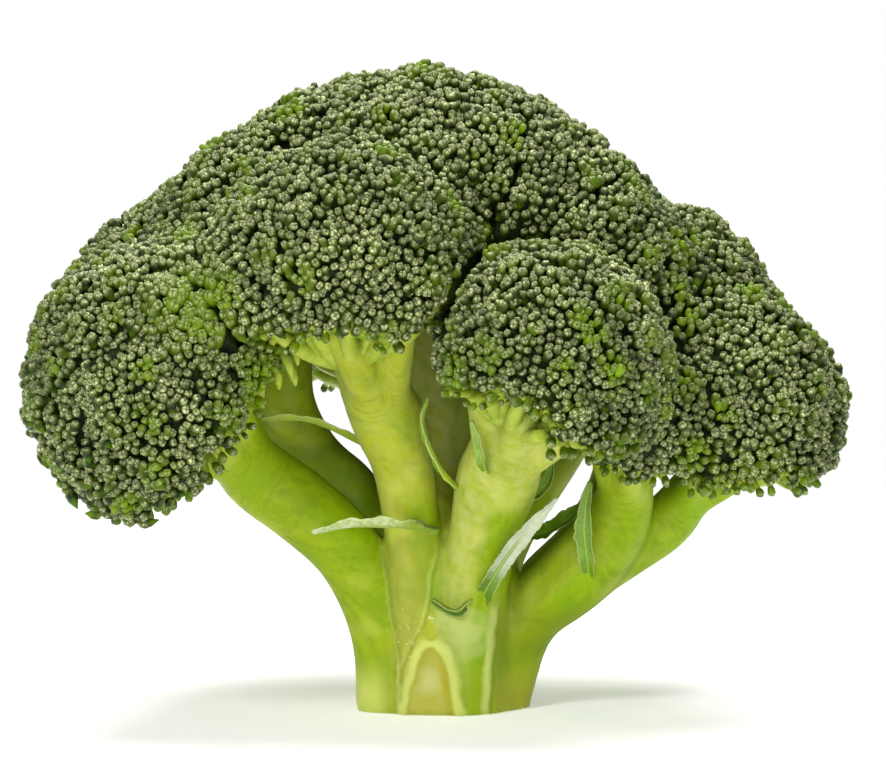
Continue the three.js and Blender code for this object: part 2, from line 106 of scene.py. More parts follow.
def chance(n):
    """The same even draw from 0 to 1 each time, for a whole number n: what a large multiple of a sine has
    after its point."""
    wave = np.sin(np.asarray(n, float) * 12.9898 + 78.233) * 43758.5453
    return wave - np.floor(wave)


def direction(axis, angle, turn):
    """The direction at an angle from an axis, turned round it: the axis times the cosine of the angle, and
    the sine of the angle along two vectors square to the axis, shared by the turn's cosine and sine."""
    first = unit(np.cross(axis, (0.1, 1, 0.3)))
    second = np.cross(axis, first)
    angle, turn = np.broadcast_arrays(np.asarray(angle, float)[..., None], np.asarray(turn, float)[..., None])
    return np.cos(angle) * axis + np.sin(angle) * (np.cos(turn) * first + np.sin(turn) * second)


def spiral(floret, pitch, seed, spare=0.0):
    """Directions over a dome, from its top to its rim and a spare angle past it: even in area, a golden
    angle apart, each a little out of place."""
    rim = floret["rim"] + spare
    cap = 1 - math.cos(rim)
    count = round(2 * math.pi * floret["radius"] ** 2 * cap / (CLOSE_PACKED * pitch * pitch))
    n = np.arange(count)
    angle = np.arccos(1 - (n + 0.5) / count * cap)
    nudge = (chance(seed + 2 * n) - 0.5) * NUDGE * pitch / floret["radius"]
    turn = n * GOLDEN_ANGLE + (chance(seed + 2 * n + 1) - 0.5) * TWIST
    return direction(floret["facing"], np.clip(angle + nudge, 0, rim), turn)


florets = []
for order, (name, (centre, radius, facing, rim, branch)) in enumerate(FLORETS.items()):
    florets.append({
        "name": name,
        "centre": np.array(centre, float),
        "radius": radius,
        "facing": unit(np.array(facing, float)),
        "rim": math.radians(rim),
        "branch": np.array(branch, float),
        "seed": 1000 * (order + 1),
    })

# Two florets that meet are flattened against each other, along the plane where their domes cross.
for floret in florets:
    floret["sprays"] = spiral(floret, SPRAY_PITCH, floret["seed"])
    normals, distances, touching = [], [], []
    for other in florets:
        between = other["centre"] - floret["centre"]
        apart = np.linalg.norm(between)
        if other is not floret and apart < floret["radius"] + other["radius"]:
            crossing = (apart**2 + floret["radius"] ** 2 - other["radius"] ** 2) / (2 * apart)
            normals.append(between / apart)
            distances.append(crossing - GAP / 2)
            touching.append(other)
    floret["normals"] = np.array(normals)
    floret["distances"] = np.array(distances)
    floret["touching"] = touching

# ---- Stalk --------------------------------------------------------------------------------------------
# One grown body: a thick trunk cut off flat, which parts into a branch for each floret, and under each
# floret the branch spreads into stout fingers. Its skin is waxy and smooth over faint fibres. It is made
# as the zero level of a field of distances to tapering cones, joined softly where they meet.

TRUNK = np.array([  # points up its middle, each with its radius
    (0, 0, -4, 16.6), (0, 0, 10, 16.2), (0, -1, 24, 15.5), (0, -1, 35, 12.5), (0, 0, 44, 7)], float)
CELL = 1.0  # the grid that the stalk's skin is taken from
MARGIN = 12  # how far the grid goes past the limbs' middles
REACH = 5.0  # how far outside a limb its field is worked out
CREASE = 1.4  # how softly two limbs join
FINGERS = 6
FINGER_CREASE = 1.1
FINGER_ANGLE = math.radians(20)  # past the rim
FINGER_REACH = 0.5  # of the floret's radius
FINGER_WIDTHS = (0.7, 0.44)  # at its root and its tip, as shares of the branch's width
NECK = 0.45  # a branch ends this share of the radius below the dome's centre
NECK_WIDTH = 0.6  # how thick a branch still is there
SCAR = (-2.3, 13.4, 4.6)  # the arch of a leaf scar on the trunk's front: its middle, height and half width
SCAR_RIM = 0.8  # how far its rim stands out
SCAR_HOLLOW = 0.7  # how deep it is inside
RIDGE = (8.9, 12, 0.9, 0.7)  # its middle across and up, its half width and how far it stands out
PLATE = (3.1, 17, 6.4, 3.6, 0.6)  # its middle across and up, its half widths and how far it stands out
FRONT = -9  # the relief is in front of this
RELIEF_TOP = 26  # above this the trunk's skin is plain


def curve_through(points, steps):
    """A centripetal Catmull-Rom curve: between two points it is a cubic whose slopes come from the points
    on either side, each stretch timed by the square root of its length."""
    padded = np.vstack([2 * points[0] - points[1], points, 2 * points[-1] - points[-2]])
    times = np.linalg.norm(np.diff(padded[:, :3], axis=0), axis=1) ** 0.5
    t = np.linspace(0, 1, steps, endpoint=False)[:, None]
    curve = []
    for n in range(len(points) - 1):
        p0, p1, p2, p3 = padded[n : n + 4]
        d0, d1, d2 = times[n : n + 3]
        slope1 = ((p1 - p0) / d0 - (p2 - p0) / (d0 + d1) + (p2 - p1) / d1) * d1
        slope2 = ((p2 - p1) / d1 - (p3 - p1) / (d1 + d2) + (p3 - p2) / d2) * d1
        curve.append(
            p1 * (2 * t**3 - 3 * t**2 + 1)
            + slope1 * (t**3 - 2 * t**2 + t)
            + p2 * (3 * t**2 - 2 * t**3)
            + slope2 * (t**3 - t**2)
        )
    return np.vstack([*curve, points[-1:]])


def limb_distance(places, line):
    """The distance from each place to the skin of a tapering limb, and the way the limb runs there: the
    least over its stretches of the distance to the stretch, less the radius at the nearest point."""
    best = np.full(len(places), np.inf)
    along = np.zeros((len(places), 3))
    for start, end in zip(line[:-1], line[1:]):
        step = end[:3] - start[:3]
        share = np.clip((places - start[:3]) @ step / (step @ step), 0, 1)
        away = places - start[:3] - share[:, None] * step
        distance = np.sqrt((away * away).sum(axis=1)) - start[3] - share * (end[3] - start[3])
        closer = distance < best
        best[closer] = distance[closer]
        along[closer] = unit(step)
    return best, along


limbs = [{"name": "trunk", "line": curve_through(TRUNK, 4), "crease": CREASE}]
for floret in florets:
    neck = floret["centre"] - NECK * floret["radius"] * floret["facing"]
    branch = np.vstack([floret["branch"], [*neck, NECK_WIDTH * floret["branch"][-1, 3]]])
    limbs.append({"name": floret["name"], "line": curve_through(branch, 5), "crease": CREASE})
    root = 0.9 * branch[-2] + 0.1 * branch[-1]
    for n in range(FINGERS):
        turn = (n + 0.5) * 2 * math.pi / FINGERS
        way = direction(floret["facing"], floret["rim"] + FINGER_ANGLE, turn)
        tip = floret["centre"] + FINGER_REACH * floret["radius"] * way
        others = [other for other in florets if other is not floret]
        if all(np.linalg.norm(other["centre"] - tip) > other["radius"] for other in others):
            thick, thin = (share * root[3] for share in FINGER_WIDTHS)
            finger = np.array([[*root[:3], thick], [*tip, thin]])
            limbs.append({"name": floret["name"], "line": finger, "crease": FINGER_CREASE})


def relief(places):
    """How far the trunk's skin stands out in front: the rounded rim of an arched leaf scar and the hollow
    inside it, a ridge beside it, and the shallow plate that a cut leaf left above."""
    x, y, z = places.T
    middle, height, half = SCAR
    out = (x - middle) / half
    arch = (out * out + z / height - 1) / np.sqrt((2 * out / half) ** 2 + 1 / height**2)
    rim = SCAR_RIM * np.exp(-((arch - 0.7) ** 2))
    hollow = -SCAR_HOLLOW / (1 + np.exp((arch + 0.5) / 0.4))
    middle, level, half, height = RIDGE
    middle = middle + 0.6 * np.sin(z / 5)
    ridge = height * np.exp(-(((x - middle) / half) ** 2)) / (1 + np.exp(np.abs(z - level) - 8))
    middle, level, half, half_up, height = PLATE
    plate = height / (1 + np.exp((np.hypot((x - middle) / half, (z - level) / half_up) - 1) * 6))
    front = 1 / (1 + np.exp((y - FRONT) * 1.5))
    return front * (rim + hollow + ridge + plate)


low = np.min([limb["line"][:, :3].min(axis=0) for limb in limbs], axis=0) - MARGIN
high = np.max([limb["line"][:, :3].max(axis=0) for limb in limbs], axis=0) + MARGIN
low[2] = -2 * CELL
shape = np.ceil((high - low) / CELL).astype(int)
axes = [low[n] + CELL * np.arange(shape[n]) for n in range(3)]
field = np.full(shape, 2 * REACH)
for limb in limbs:
    line = limb["line"]
    spare = line[:, 3].max() + REACH
    first = np.clip(np.floor((line[:, :3].min(axis=0) - spare - low) / CELL), 0, shape - 1).astype(int)
    last = np.clip(np.ceil((line[:, :3].max(axis=0) + spare - low) / CELL), 1, shape).astype(int)
    window = tuple(slice(a, b) for a, b in zip(first, last))
    places = np.stack(np.meshgrid(*(axes[n][window[n]] for n in range(3)), indexing="ij"), axis=-1)
    distance = limb_distance(places.reshape(-1, 3), line)[0].reshape(places.shape[:3])
    there = field[window]
    overlap = np.maximum(limb["crease"] - np.abs(there - distance), 0) / limb["crease"]
    field[window] = np.minimum(there, distance) - overlap**2 * limb["crease"] / 4
levels = int(RELIEF_TOP / CELL)
places = np.stack(np.meshgrid(axes[0], axes[1], axes[2][:levels], indexing="ij"), axis=-1)
field[:, :, :levels] -= relief(places.reshape(-1, 3)).reshape(places.shape[:3])
field = np.maximum(field, -axes[2])


def skin_of(field, corner, cell):
    """Surface nets: a point in each cell of the grid that the zero level crosses, at the mean of its
    crossings of the cell's edges, and a four-sided face across each grid edge that changes sides."""
    inside = field < 0
    size = np.array(field.shape) - 1
    corners = np.array(list(np.ndindex(2, 2, 2)))
    full = np.zeros(size, np.int8)
    for a, b, c in corners:
        full += inside[a : a + size[0], b : b + size[1], c : c + size[2]]
    cells = np.argwhere((full > 0) & (full < 8))
    number = np.full(size, -1)
    number[tuple(cells.T)] = np.arange(len(cells))
    sums = np.zeros((len(cells), 3))
    crossings = np.zeros((len(cells), 1))
    for start in corners:
        for axis in np.flatnonzero(start == 0):
            step = np.eye(3, dtype=int)[axis]
            a = field[tuple((cells + start).T)]
            b = field[tuple((cells + start + step).T)]
            cut = ((a < 0) != (b < 0))[:, None]
            share = a / np.where(a == b, 1, a - b)
            sums += cut * (start + share[:, None] * step)
            crossings += cut
    points = corner + cell * (cells + sums / crossings)
    faces = []
    for axis in range(3):
        step, u, v = np.roll(np.eye(3, dtype=int), -axis, axis=0)
        span = [slice(0, field.shape[n] - step[n]) for n in range(3)]
        below = inside[tuple(span)]
        above = inside[tuple(slice(span[n].start + step[n], field.shape[n]) for n in range(3))]
        edges = np.argwhere(below != above)
        edges = edges[((edges >= u + v) & (edges < size + step)).all(axis=1)]
        ring = np.stack([number[tuple((edges - back).T)] for back in (u + v, v, 0 * u, u)], axis=1)
        outward = below[tuple(edges.T)]
        faces.append(np.where(outward[:, None], ring, ring[:, ::-1]))
    return points, np.vstack(faces)


def relaxed(points, faces, rounds, pull):
    """Each point moved part of the way to the mean of its neighbours, as often as there are rounds."""
    here, there = np.vstack([faces[:, [n, (n + 1) % 4]] for n in range(4)]).T
    counts = np.bincount(here, minlength=len(points))[:, None]
    for _ in range(rounds):
        sums = np.stack([np.bincount(here, points[there, n], len(points)) for n in range(3)], axis=1)
        points = points + pull * (sums / counts - points)
    return points


points, faces = skin_of(field, low, CELL)
points = relaxed(points, faces, rounds=2, pull=0.5)
points[points[:, 2] < 0.7 * CELL, 2] = 0


def smooth_mesh(name, points, faces, values=None, material_numbers=None):
    """A mesh from points in millimetres, blocks of faces with the same number of corners, and named values
    for each point, as an object."""
    mesh = bpy.data.meshes.new(name)
    mesh.vertices.add(len(points))
    mesh.vertices.foreach_set("co", (0.001 * points).astype(np.float32).ravel())
    corner_lists = [block.ravel() for block in faces]
    sizes = np.concatenate([np.full(len(block), block.shape[1]) for block in faces])
    mesh.loops.add(int(sizes.sum()))
    mesh.loops.foreach_set("vertex_index", np.concatenate(corner_lists).astype(np.int32))
    mesh.polygons.add(len(sizes))
    mesh.polygons.foreach_set("loop_start", (np.cumsum(sizes) - sizes).astype(np.int32))
    mesh.polygons.foreach_set("use_smooth", np.ones(len(sizes), bool))
    if material_numbers is not None:
        mesh.polygons.foreach_set("material_index", material_numbers.astype(np.int32))
    for key, value in (values or {}).items():
        kind, field_name = ("FLOAT_VECTOR", "vector") if value.ndim == 2 else ("FLOAT", "value")
        layer = mesh.attributes.new(key, kind, "POINT")
        layer.data.foreach_set(field_name, value.astype(np.float32).ravel())
    mesh.update()
    mesh.validate()
    made = bpy.data.objects.new(name, mesh)
    bpy.context.scene.collection.objects.link(made)
    return made


# How each limb's skin looks: paleness from wax and thick skin, and how yellow it is in place of green.
# The top limb's values are raised as painted light, where it lies in shade under the crown.
SKIN = {
    "trunk": (0.25, 0.9), "left": (0.03, 0.18), "left_high": (0.15, 0.2), "front_left": (0.24, 0.55),
    "front_right": (0.6, 0.45), "right_low": (0.1, 0.25), "right": (0.05, 0.25), "top": (0.7, 0.8),
}
OTHER_SKIN = (0.1, 0.3)
SKIN_MERGE = 0.9  # how softly one limb's look goes over into the next one's
SHADE_SIDE = -1.6  # painted shade: each limb is darker green from just left of its middle to its right side
SHADE_EDGE = 3.2  # how sharply that painted shade starts, against the limb's radius
SHADE_LOSS = np.array([0.95, 0.85])  # how much paleness and yellow the painted shade takes away there
SHADE_TOP = 46  # above this height both sides look nearly the same
SEAM = 0.8  # half the width of the painted shade in the crease where two limbs have grown together
STRETCH = 0.9  # how much a fibre is drawn out along its limb
FAR = 60.0  # farther than any point is from its limb

nearest = np.zeros((len(points), 3))
weights = np.zeros(len(points))
tints = np.zeros((len(points), 2))
closest = np.full((2, len(points)), FAR)
for limb in limbs:
    line = limb["line"]
    distance, along = limb_distance(points, line)
    weight = np.exp(-np.clip(distance, -1, 20) / SKIN_MERGE)
    weights += weight
    nearest += weight[:, None] * along
    # Painted shade on each limb's right side: its paleness and yellow fade there, so it looks darker green.
    middle = np.interp(points[:, 2], line[:, 2], line[:, 0])
    green = np.clip((points[:, 0] - middle - SHADE_SIDE) / line[:, 3].max() * SHADE_EDGE, 0, 1)
    green *= np.clip((SHADE_TOP - points[:, 2]) / 6, 0.1, 1)
    look = np.array(SKIN.get(limb["name"], OTHER_SKIN))
    tints += weight[:, None] * look * (1 - SHADE_LOSS * green[:, None])
    if limb["name"] != "trunk" and len(line) > 2:
        closest = np.sort(np.vstack([closest, distance]), axis=0)[:2]
along = unit(nearest)
tints /= weights[:, None]
# Painted shade in the creases where two limbs have grown together, from a little above the foot.
seam_shade = np.exp(-(((closest[1] - closest[0]) / SEAM) ** 2)) * np.clip((points[:, 2] - 4) / 12, 0, 1)
fibre = points - STRETCH * (points * along).sum(axis=1, keepdims=True) * along
stalk = smooth_mesh("stalk_skin", points, [faces], {
    "fibre": fibre, "pale": tints[:, 0], "yellow": tints[:, 1], "seam_shade": seam_shade})


def feed(tree, node, inputs):
    """Each named input of a node, linked to another node's socket or set to a value."""
    for socket, value in inputs.items():
        if isinstance(value, bpy.types.NodeSocket):
            tree.links.new(value, node.inputs[socket])
        else:
            node.inputs[socket].default_value = value


def add(tree, kind, inputs=None, **settings):
    """A shader node with its settings and its inputs."""
    made = tree.nodes.new("ShaderNode" + kind)
    for key, value in settings.items():
        setattr(made, key, value)
    feed(tree, made, inputs or {})
    return made


def parts_of(tree, vector):
    """The three numbers of a vector."""
    return add(tree, "SeparateXYZ", {0: vector}).outputs


def read(tree, name, part="Fac"):
    """A value that each point of the mesh has."""
    return add(tree, "Attribute", attribute_name=name).outputs[part]


def blend(tree, factor, first, second):
    """The first colour, turned into the second by the factor."""
    return add(tree, "Mix", {0: factor, 6: first, 7: second}, data_type="RGBA").outputs[2]


def reckon(tree, operation, *values):
    """One sum on numbers."""
    return add(tree, "Math", dict(enumerate(values)), operation=operation).outputs[0]


def product(tree, *values):
    """The values multiplied together."""
    result = values[0]
    for value in values[1:]:
        result = reckon(tree, "MULTIPLY", result, value)
    return result


def total(tree, *values):
    """The values added together."""
    result = values[0]
    for value in values[1:]:
        result = reckon(tree, "ADD", result, value)
    return result


def less(tree, value, amount):
    """The value less an amount."""
    return reckon(tree, "SUBTRACT", value, amount)


def off_by(tree, value, middle):
    """How far a value is from a middle, on either side."""
    return reckon(tree, "ABSOLUTE", less(tree, value, middle))


def flat_length(tree, x, y):
    """How far from the axis a point is: the square root of the sum of its two squares."""
    return reckon(tree, "SQRT", total(tree, product(tree, x, x), product(tree, y, y)))


def distance_to(tree, place, point):
    """How far a place is from a point."""
    return add(tree, "VectorMath", {0: place, 1: point}, operation="DISTANCE").outputs["Value"]


def slope(tree, value, start, end, low, high):
    """A straight change from low to high as the value goes from start to end."""
    return add(tree, "MapRange", {0: value, 1: start, 2: end, 3: low, 4: high}).outputs[0]


def ramp(tree, value, start, end, low=0.0, high=1.0):
    """A soft step from low to high as the value goes from start to end."""
    inputs = {"Value": value, "From Min": start, "From Max": end, "To Min": low, "To Max": high}
    return add(tree, "MapRange", inputs, interpolation_type="SMOOTHSTEP").outputs[0]


def painted(tree, base, layers):
    """A base colour with layers over it, each a mask and the colour where the mask is 1."""
    for mask, tone in layers:
        base = blend(tree, mask, base, tone)
    return base


def noise(tree, vector, scale, detail=2.0):
    """Soft mottling, from 0 to 1."""
    return add(tree, "TexNoise", {"Vector": vector, "Scale": scale, "Detail": detail}).outputs["Fac"]


def colour(red, green, blue):
    """A colour given as a screen shows it, from 0 to 255, as the shader takes it."""
    shown = np.array([red, green, blue]) / 255
    return (*np.where(shown < 0.04045, shown / 12.92, ((shown + 0.055) / 1.055) ** 2.4), 1.0)


def new_material(name, roughness, shine):
    """A material, the tree that feeds it, its Principled shader, and the place on the object in metres."""
    made = bpy.data.materials.new(name)
    made.use_nodes = True
    shader = made.node_tree.nodes["Principled BSDF"]
    shader.inputs["Roughness"].default_value = roughness
    shader.inputs["Specular IOR Level"].default_value = shine
    return made, made.node_tree, shader, add(made.node_tree, "TexCoord").outputs["Object"]


def wax_group():
    """A thin bloom of wax, mottled: the base colour turned to the wax's colour by an amount that comes and
    goes over the surface, and the same mottling as a height."""
    made = bpy.data.node_groups.new("wax_bloom", "ShaderNodeTree")
    sockets = {"Vector": "Vector", "Scale": "Float", "Base": "Color", "Wax": "Color", "Amount": "Float"}
    for name, kind in sockets.items():
        made.interface.new_socket(name, in_out="INPUT", socket_type="NodeSocket" + kind)
    made.interface.new_socket("Color", in_out="OUTPUT", socket_type="NodeSocketColor")
    made.interface.new_socket("Height", in_out="OUTPUT", socket_type="NodeSocketFloat")
    given = made.nodes.new("NodeGroupInput").outputs
    taken = made.nodes.new("NodeGroupOutput").inputs
    mottling = noise(made, given["Vector"], given["Scale"], 3.0)
    amount = product(made, given["Amount"], ramp(made, mottling, 0.32, 0.66, 0.35, 1.0))
    made.links.new(blend(made, amount, given["Base"], given["Wax"]), taken["Color"])
    made.links.new(mottling, taken["Height"])
    return made


wax_bloom = wax_group()


def waxed(tree, shader, inputs, strength, depth):
    """The bloom of wax over a base colour, and its roughness as a bump of a depth in metres."""
    group = tree.nodes.new("ShaderNodeGroup")
    group.node_tree = wax_bloom
    feed(tree, group, inputs)
    bump = add(tree, "Bump", {"Height": group.outputs["Height"], "Strength": strength, "Distance": depth})
    feed(tree, shader, {"Base Color": group.outputs["Color"], "Normal": bump.outputs[0]})


def stalk_material():
    """Waxy stalk skin, green turned pale and yellow by each limb's own values, over fibres that run along
    it; those values also hold painted shade down each limb's right side and painted light on the top limb.
    Painted shade darkens the seams where limbs have grown together and the trunk's right side. The front
    of the trunk has an arched leaf scar with a corky outline, a pale rim that is partly painted highlight
    and a painted shadow line outside it, the base of a cut leaf, and a ridge; pale lines, partly painted
    highlight, with painted shade beside them run along the ridge and the seams. The cut end shows pale
    pith, a ring of wood and the green skin."""
    made, tree, shader, place = new_material("stalk_skin", 0.5, 0.15)
    millimetres = add(tree, "VectorMath", {0: place, 1: (1000, 1000, 1000)}, operation="MULTIPLY").outputs[0]
    x, y, z = parts_of(tree, millimetres)
    pale, yellow, seam_shade = (read(tree, name) for name in ("pale", "yellow", "seam_shade"))
    strands = noise(tree, read(tree, "fibre", "Vector"), 0.5, 4.0)
    patches = noise(tree, place, 75.0, 1.0)
    wander = ramp(tree, noise(tree, place, 230.0, 2.0), 0.2, 0.8, -0.6, 0.6)
    wandering = product(tree, wander, 0.6)
    front = ramp(tree, y, -7.0, -11.0)
    foot = ramp(tree, z, 12.0, 3.0)
    # Painted shade on the front of the trunk's right side, around the scar's height.
    trunk_right_shade = product(tree, front, ramp(tree, off_by(tree, z, 15.0), 9.0, 3.0))
    base = blend(tree, yellow, colour(130, 160, 0), colour(178, 172, 28))
    layers = [  # fibres, green and pale patches, painted shade in the seams, the foot's right side, painted shade on the trunk's right side, the foot's left side
        (ramp(tree, strands, 0.35, 0.75, 0.0, 0.5), colour(94, 126, 2)),
        (ramp(tree, patches, 0.54, 0.7, 0.0, 0.5), colour(112, 150, 0)),
        (ramp(tree, patches, 0.45, 0.3, 0.0, 0.4), colour(184, 190, 80)),
        (product(tree, seam_shade, 0.5), colour(88, 108, 16)),
        (product(tree, foot, ramp(tree, x, 7.0, 13.0, 0.0, 0.6)), colour(166, 160, 52)),
        (product(tree, trunk_right_shade, ramp(tree, total(tree, x, wander), 9.5, 12.0, 0.0, 0.55)), colour(118, 130, 8)),
        (product(tree, foot, ramp(tree, x, -9.0, -14.0, 0.0, 0.6)), colour(200, 208, 110)),
    ]

    def line_mask(offset, width):
        """1 along a line that is an offset away, falling to 0 at its width."""
        return product(tree, front, ramp(tree, reckon(tree, "ABSOLUTE", offset), width, 0.1 * width))

    # Where branches have grown together: how far a point is from each seam and from the ridge.
    left_seam = total(tree, x, slope(tree, z, 10.0, 36.0, 8.6, 12.6), wandering)
    bend = total(tree, slope(tree, z, 9.0, 20.0, 8.6, 3.6), slope(tree, z, 20.0, 38.0, 0.0, -2.8))
    middle_seam = total(tree, x, bend, wandering)
    ridge = total(tree, x, slope(tree, z, 2.0, 22.0, -8.2, -10.0), wandering)
    below_leaf = ramp(tree, z, 23.0, 20.0)
    below_fork = ramp(tree, z, 38.0, 30.0)
    between = product(tree, ramp(tree, left_seam, 0.0, 1.5), ramp(tree, middle_seam, 0.0, -1.5))
    between = product(tree, between, product(tree, front, ramp(tree, z, 10.0, 16.0, 0.0, 0.6)))
    layers.append((product(tree, between, below_fork), colour(138, 144, 44)))

    # The shallow plate that a cut leaf left above the scar.
    plate_x = reckon(tree, "DIVIDE", less(tree, x, 3.4), 5.6)
    plate_z = reckon(tree, "DIVIDE", less(tree, z, 16.5), 5.0)
    plate_out = total(tree, product(tree, plate_x, plate_x), product(tree, plate_z, plate_z))
    plate = ramp(tree, total(tree, plate_out, product(tree, wander, 0.9)), 1.5, 0.2, 0.0, 0.75)
    layers.append((product(tree, front, plate), colour(172, 186, 104)))

    # Along each seam and the ridge: a pale line, partly pale skin and partly painted highlight, and a line of
    # painted shade just right of it.
    for offset, reaches, width, strength in (
        (left_seam, below_fork, 0.5, 0.2),
        (middle_seam, below_fork, 0.8, 0.3),
        (ridge, below_leaf, 1.4, 0.65),
    ):
        pale_highlight_line = product(tree, line_mask(offset, width), product(tree, reaches, strength))
        shade_line = line_mask(less(tree, offset, 0.8 * width), 0.6)
        shade_line = product(tree, shade_line, product(tree, reaches, 0.45))
        layers += [(pale_highlight_line, colour(196, 204, 118)), (shade_line, colour(104, 118, 20))]
    flecks = ramp(tree, noise(tree, place, 1100.0, 1.0), 0.66, 0.74)
    flecked = ramp(tree, distance_to(tree, millimetres, (-5.0, -16.0, 16.0)), 9.0, 3.0, 0.0, 0.6)
    layers.append((product(tree, flecks, flecked), colour(222, 228, 176)))

    # The leaf scar: how far a point is outside its arch, as in the trunk's relief.
    middle, height, half = SCAR
    across = reckon(tree, "DIVIDE", less(tree, x, middle), half)
    square = product(tree, across, across)
    steep = reckon(tree, "SQRT", total(tree, product(tree, square, (2 / half) ** 2), height**-2))
    arch = less(tree, total(tree, square, reckon(tree, "DIVIDE", z, height)), 1.0)
    arch = total(tree, reckon(tree, "DIVIDE", arch, steep), wandering)
    heart = total(tree, distance_to(tree, millimetres, (-2.6, -16.4, 6.8)), wander)
    corner = product(tree, ramp(tree, x, -2.0, 1.0), ramp(tree, arch, -2.6, -0.8, 0.0, 0.9))
    inside = painted(tree, colour(184, 184, 108), [
        (ramp(tree, heart, 0.6, 3.8), colour(164, 162, 54)),
        (corner, colour(160, 150, 16)),
    ])
    # Round the arch a pale rim, pale skin with a painted highlight, and beyond it a thin line of painted
    # shadow.
    rim = ramp(tree, off_by(tree, arch, 1.0), 1.2, 0.2)
    rim_shadow = line_mask(less(tree, arch, 2.3), 0.6)
    layers += [
        (product(tree, front, ramp(tree, arch, 0.2, -0.3)), inside),
        (product(tree, front, product(tree, rim, 0.75)), colour(200, 208, 110)),
        (product(tree, line_mask(arch, 0.6), 0.5), colour(150, 146, 30)),
        (product(tree, rim_shadow, 0.35), colour(134, 146, 36)),
    ]

    # The cut end.
    out = flat_length(tree, x, y)
    pith = painted(tree, colour(226, 230, 186), [
        (ramp(tree, out, 9.0, 13.0), colour(190, 204, 120)),
        (ramp(tree, off_by(tree, out, 12.6), 1.0, 0.2, 0.0, 0.6), colour(238, 238, 206)),
    ])
    layers.append((ramp(tree, z, 0.25, 0.02), pith))
    base = painted(tree, base, layers)
    inputs = {"Vector": place, "Scale": 420.0, "Base": base, "Wax": colour(182, 186, 110), "Amount": pale}
    waxed(tree, shader, inputs, 0.25, 0.0004)
    return made


stalk_skin = stalk_material()
stalk.data.materials.append(stalk_skin)
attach(stalk, "root")
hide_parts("stalk")

# ---- Leaves -------------------------------------------------------------------------------------------
# The small leaves that grow between the branches: thin waxy blades on a midrib, with toothed, ruffled
# edges, pale where they are seen from below. Each grows from the stalk at its foot.

LEAVES = {
    # name: (points of the midrib, half widths along it, the way that the blade spreads, how pale and how
    #        yellow it is, the length of a tooth)
    "leaf_across": ([(-1.2, -18.4, 36.6), (-8.3, -24.5, 38.4), (-18, -27, 38.9), (-25.4, -28, 37.6)],
                    [1, 1.9, 1.7, 0.4], (-0.1, 0.9, -0.45), 0.6, 0.3, 2.4),
    "leaf_pale": ([(5.4, -14, 18.4), (9.4, -22, 27.4), (14.2, -26, 35), (18.1, -28.5, 39.8), (22, -30, 44.2)],
                  [1.9, 2, 1.7, 1.8, 1.5, 0.3], (0.85, 0.1, -0.5), 1.0, 0.55, 1.1),
    "leaf_collar": ([(6.6, -17.6, 25.6), (2.9, -19.9, 21), (-2.2, -17.8, 23)],
                    [1, 1.2, 0.4], (0.1, -0.8, 0.6), 0.1, 0.0, 2.4),
    "leaf_upright": ([(29.4, -12.5, 23), (28.2, -19.5, 31.2), (27.5, -22, 37.3), (27.9, -23, 42.8),
                      (28.6, -23, 46.8)],
                     [0.4, 0.9, 1.7, 2, 1.5, 0.6], (0.9, -0.4, 0.1), 0.45, 0.85, 2.0),
    "leaf_hook": ([(4, -25, 44.4), (-0.4, -29.5, 49.4), (-2.9, -32, 54.6), (-4.2, -33, 59.6),
                   (-3.1, -32, 63.8)],
                  [0.6, 0.9, 0.8, 0.8, 0.4], (0.25, -0.95, -0.1), 0.2, 0.95, 3.0),
    "leaf_strap": ([(-11.4, -17, 52), (-17.5, -15, 54.8), (-22, -14, 57), (-28, -14, 58.8), (-38, -15, 58.4)],
                   [0.8, 1, 0.9, 0.9, 0.5], (-0.03, 0.95, -0.25), 0.15, 1.0, 3.0),
    "leaf_flap": ([(8.8, -32.5, 48.4), (7.4, -37.9, 51.6), (6.9, -40.5, 54.6), (6.4, -42.9, 57.2),
                   (5.2, -45, 60)],
                  [0.6, 1, 1, 0.9, 0.4], (0.8, -0.55, -0.25), 0.58, 1.0, 4.0),
    "leaf_inner": ([(14.8, -19.5, 40.6), (18, -18.5, 43.6), (20.6, -19, 47), (21.4, -19.5, 51)],
                   [0.7, 1.4, 1.4, 0.5], (0.8, -0.5, -0.1), 0.3, 1.0, 4.0),
    "leaf_low": ([(16, 1, 33.6), (21, -3, 35.4), (25.3, -6, 38.5), (30, -8, 43)],
                 [1.2, 2, 1.8, 0.6], (0.3, -0.75, -0.5), 0.1, 0.95, 2.0),
    "leaf_back_left": ([(-13, 21, 28), (-16, 28, 33), (-19, 32, 39), (-21, 33, 46)],
                       [1.8, 2.4, 2.1, 0.6], (0.8, 0.5, 0.1), 0.4, 0.3, 1.9),
    "leaf_back": ([(1, 18, 27), (1.5, 27, 34), (1, 33, 41), (0, 36, 48)],
                  [2.2, 3, 2.6, 0.6], (0.95, 0, 0.2), 0.4, 0.3, 1.9),
    "leaf_back_right": ([(25, 23, 25), (31, 30, 30), (34, 33, 37), (34, 33, 43)],
                        [1.4, 2.2, 2, 0.6], (0.7, -0.6, 0.1), 0.4, 0.3, 1.9),
}
LEAF_STEP = 0.35  # between the rings along a blade
LEAF_COLUMNS = 11  # points across each face
BLADE = 0.42  # how thick the blade is next to its midrib
EDGE = 0.35  # how much of that is left at its edges
MIDRIB = 0.3  # how much thicker the midrib is
CUP = 0.45  # how far the edges rise, against the blade's half width
RUFFLE = 1.1  # how far the edges wave, against the blade's half width
WAVES = ((0.36, 0.9, 1, 2), (0.09, 2.3, 2.3, 1))  # height, turn for each mm, shift for each leaf and side
TOOTH_DEPTHS = (0.05, 0.25)  # the least and the most, against the blade's half width


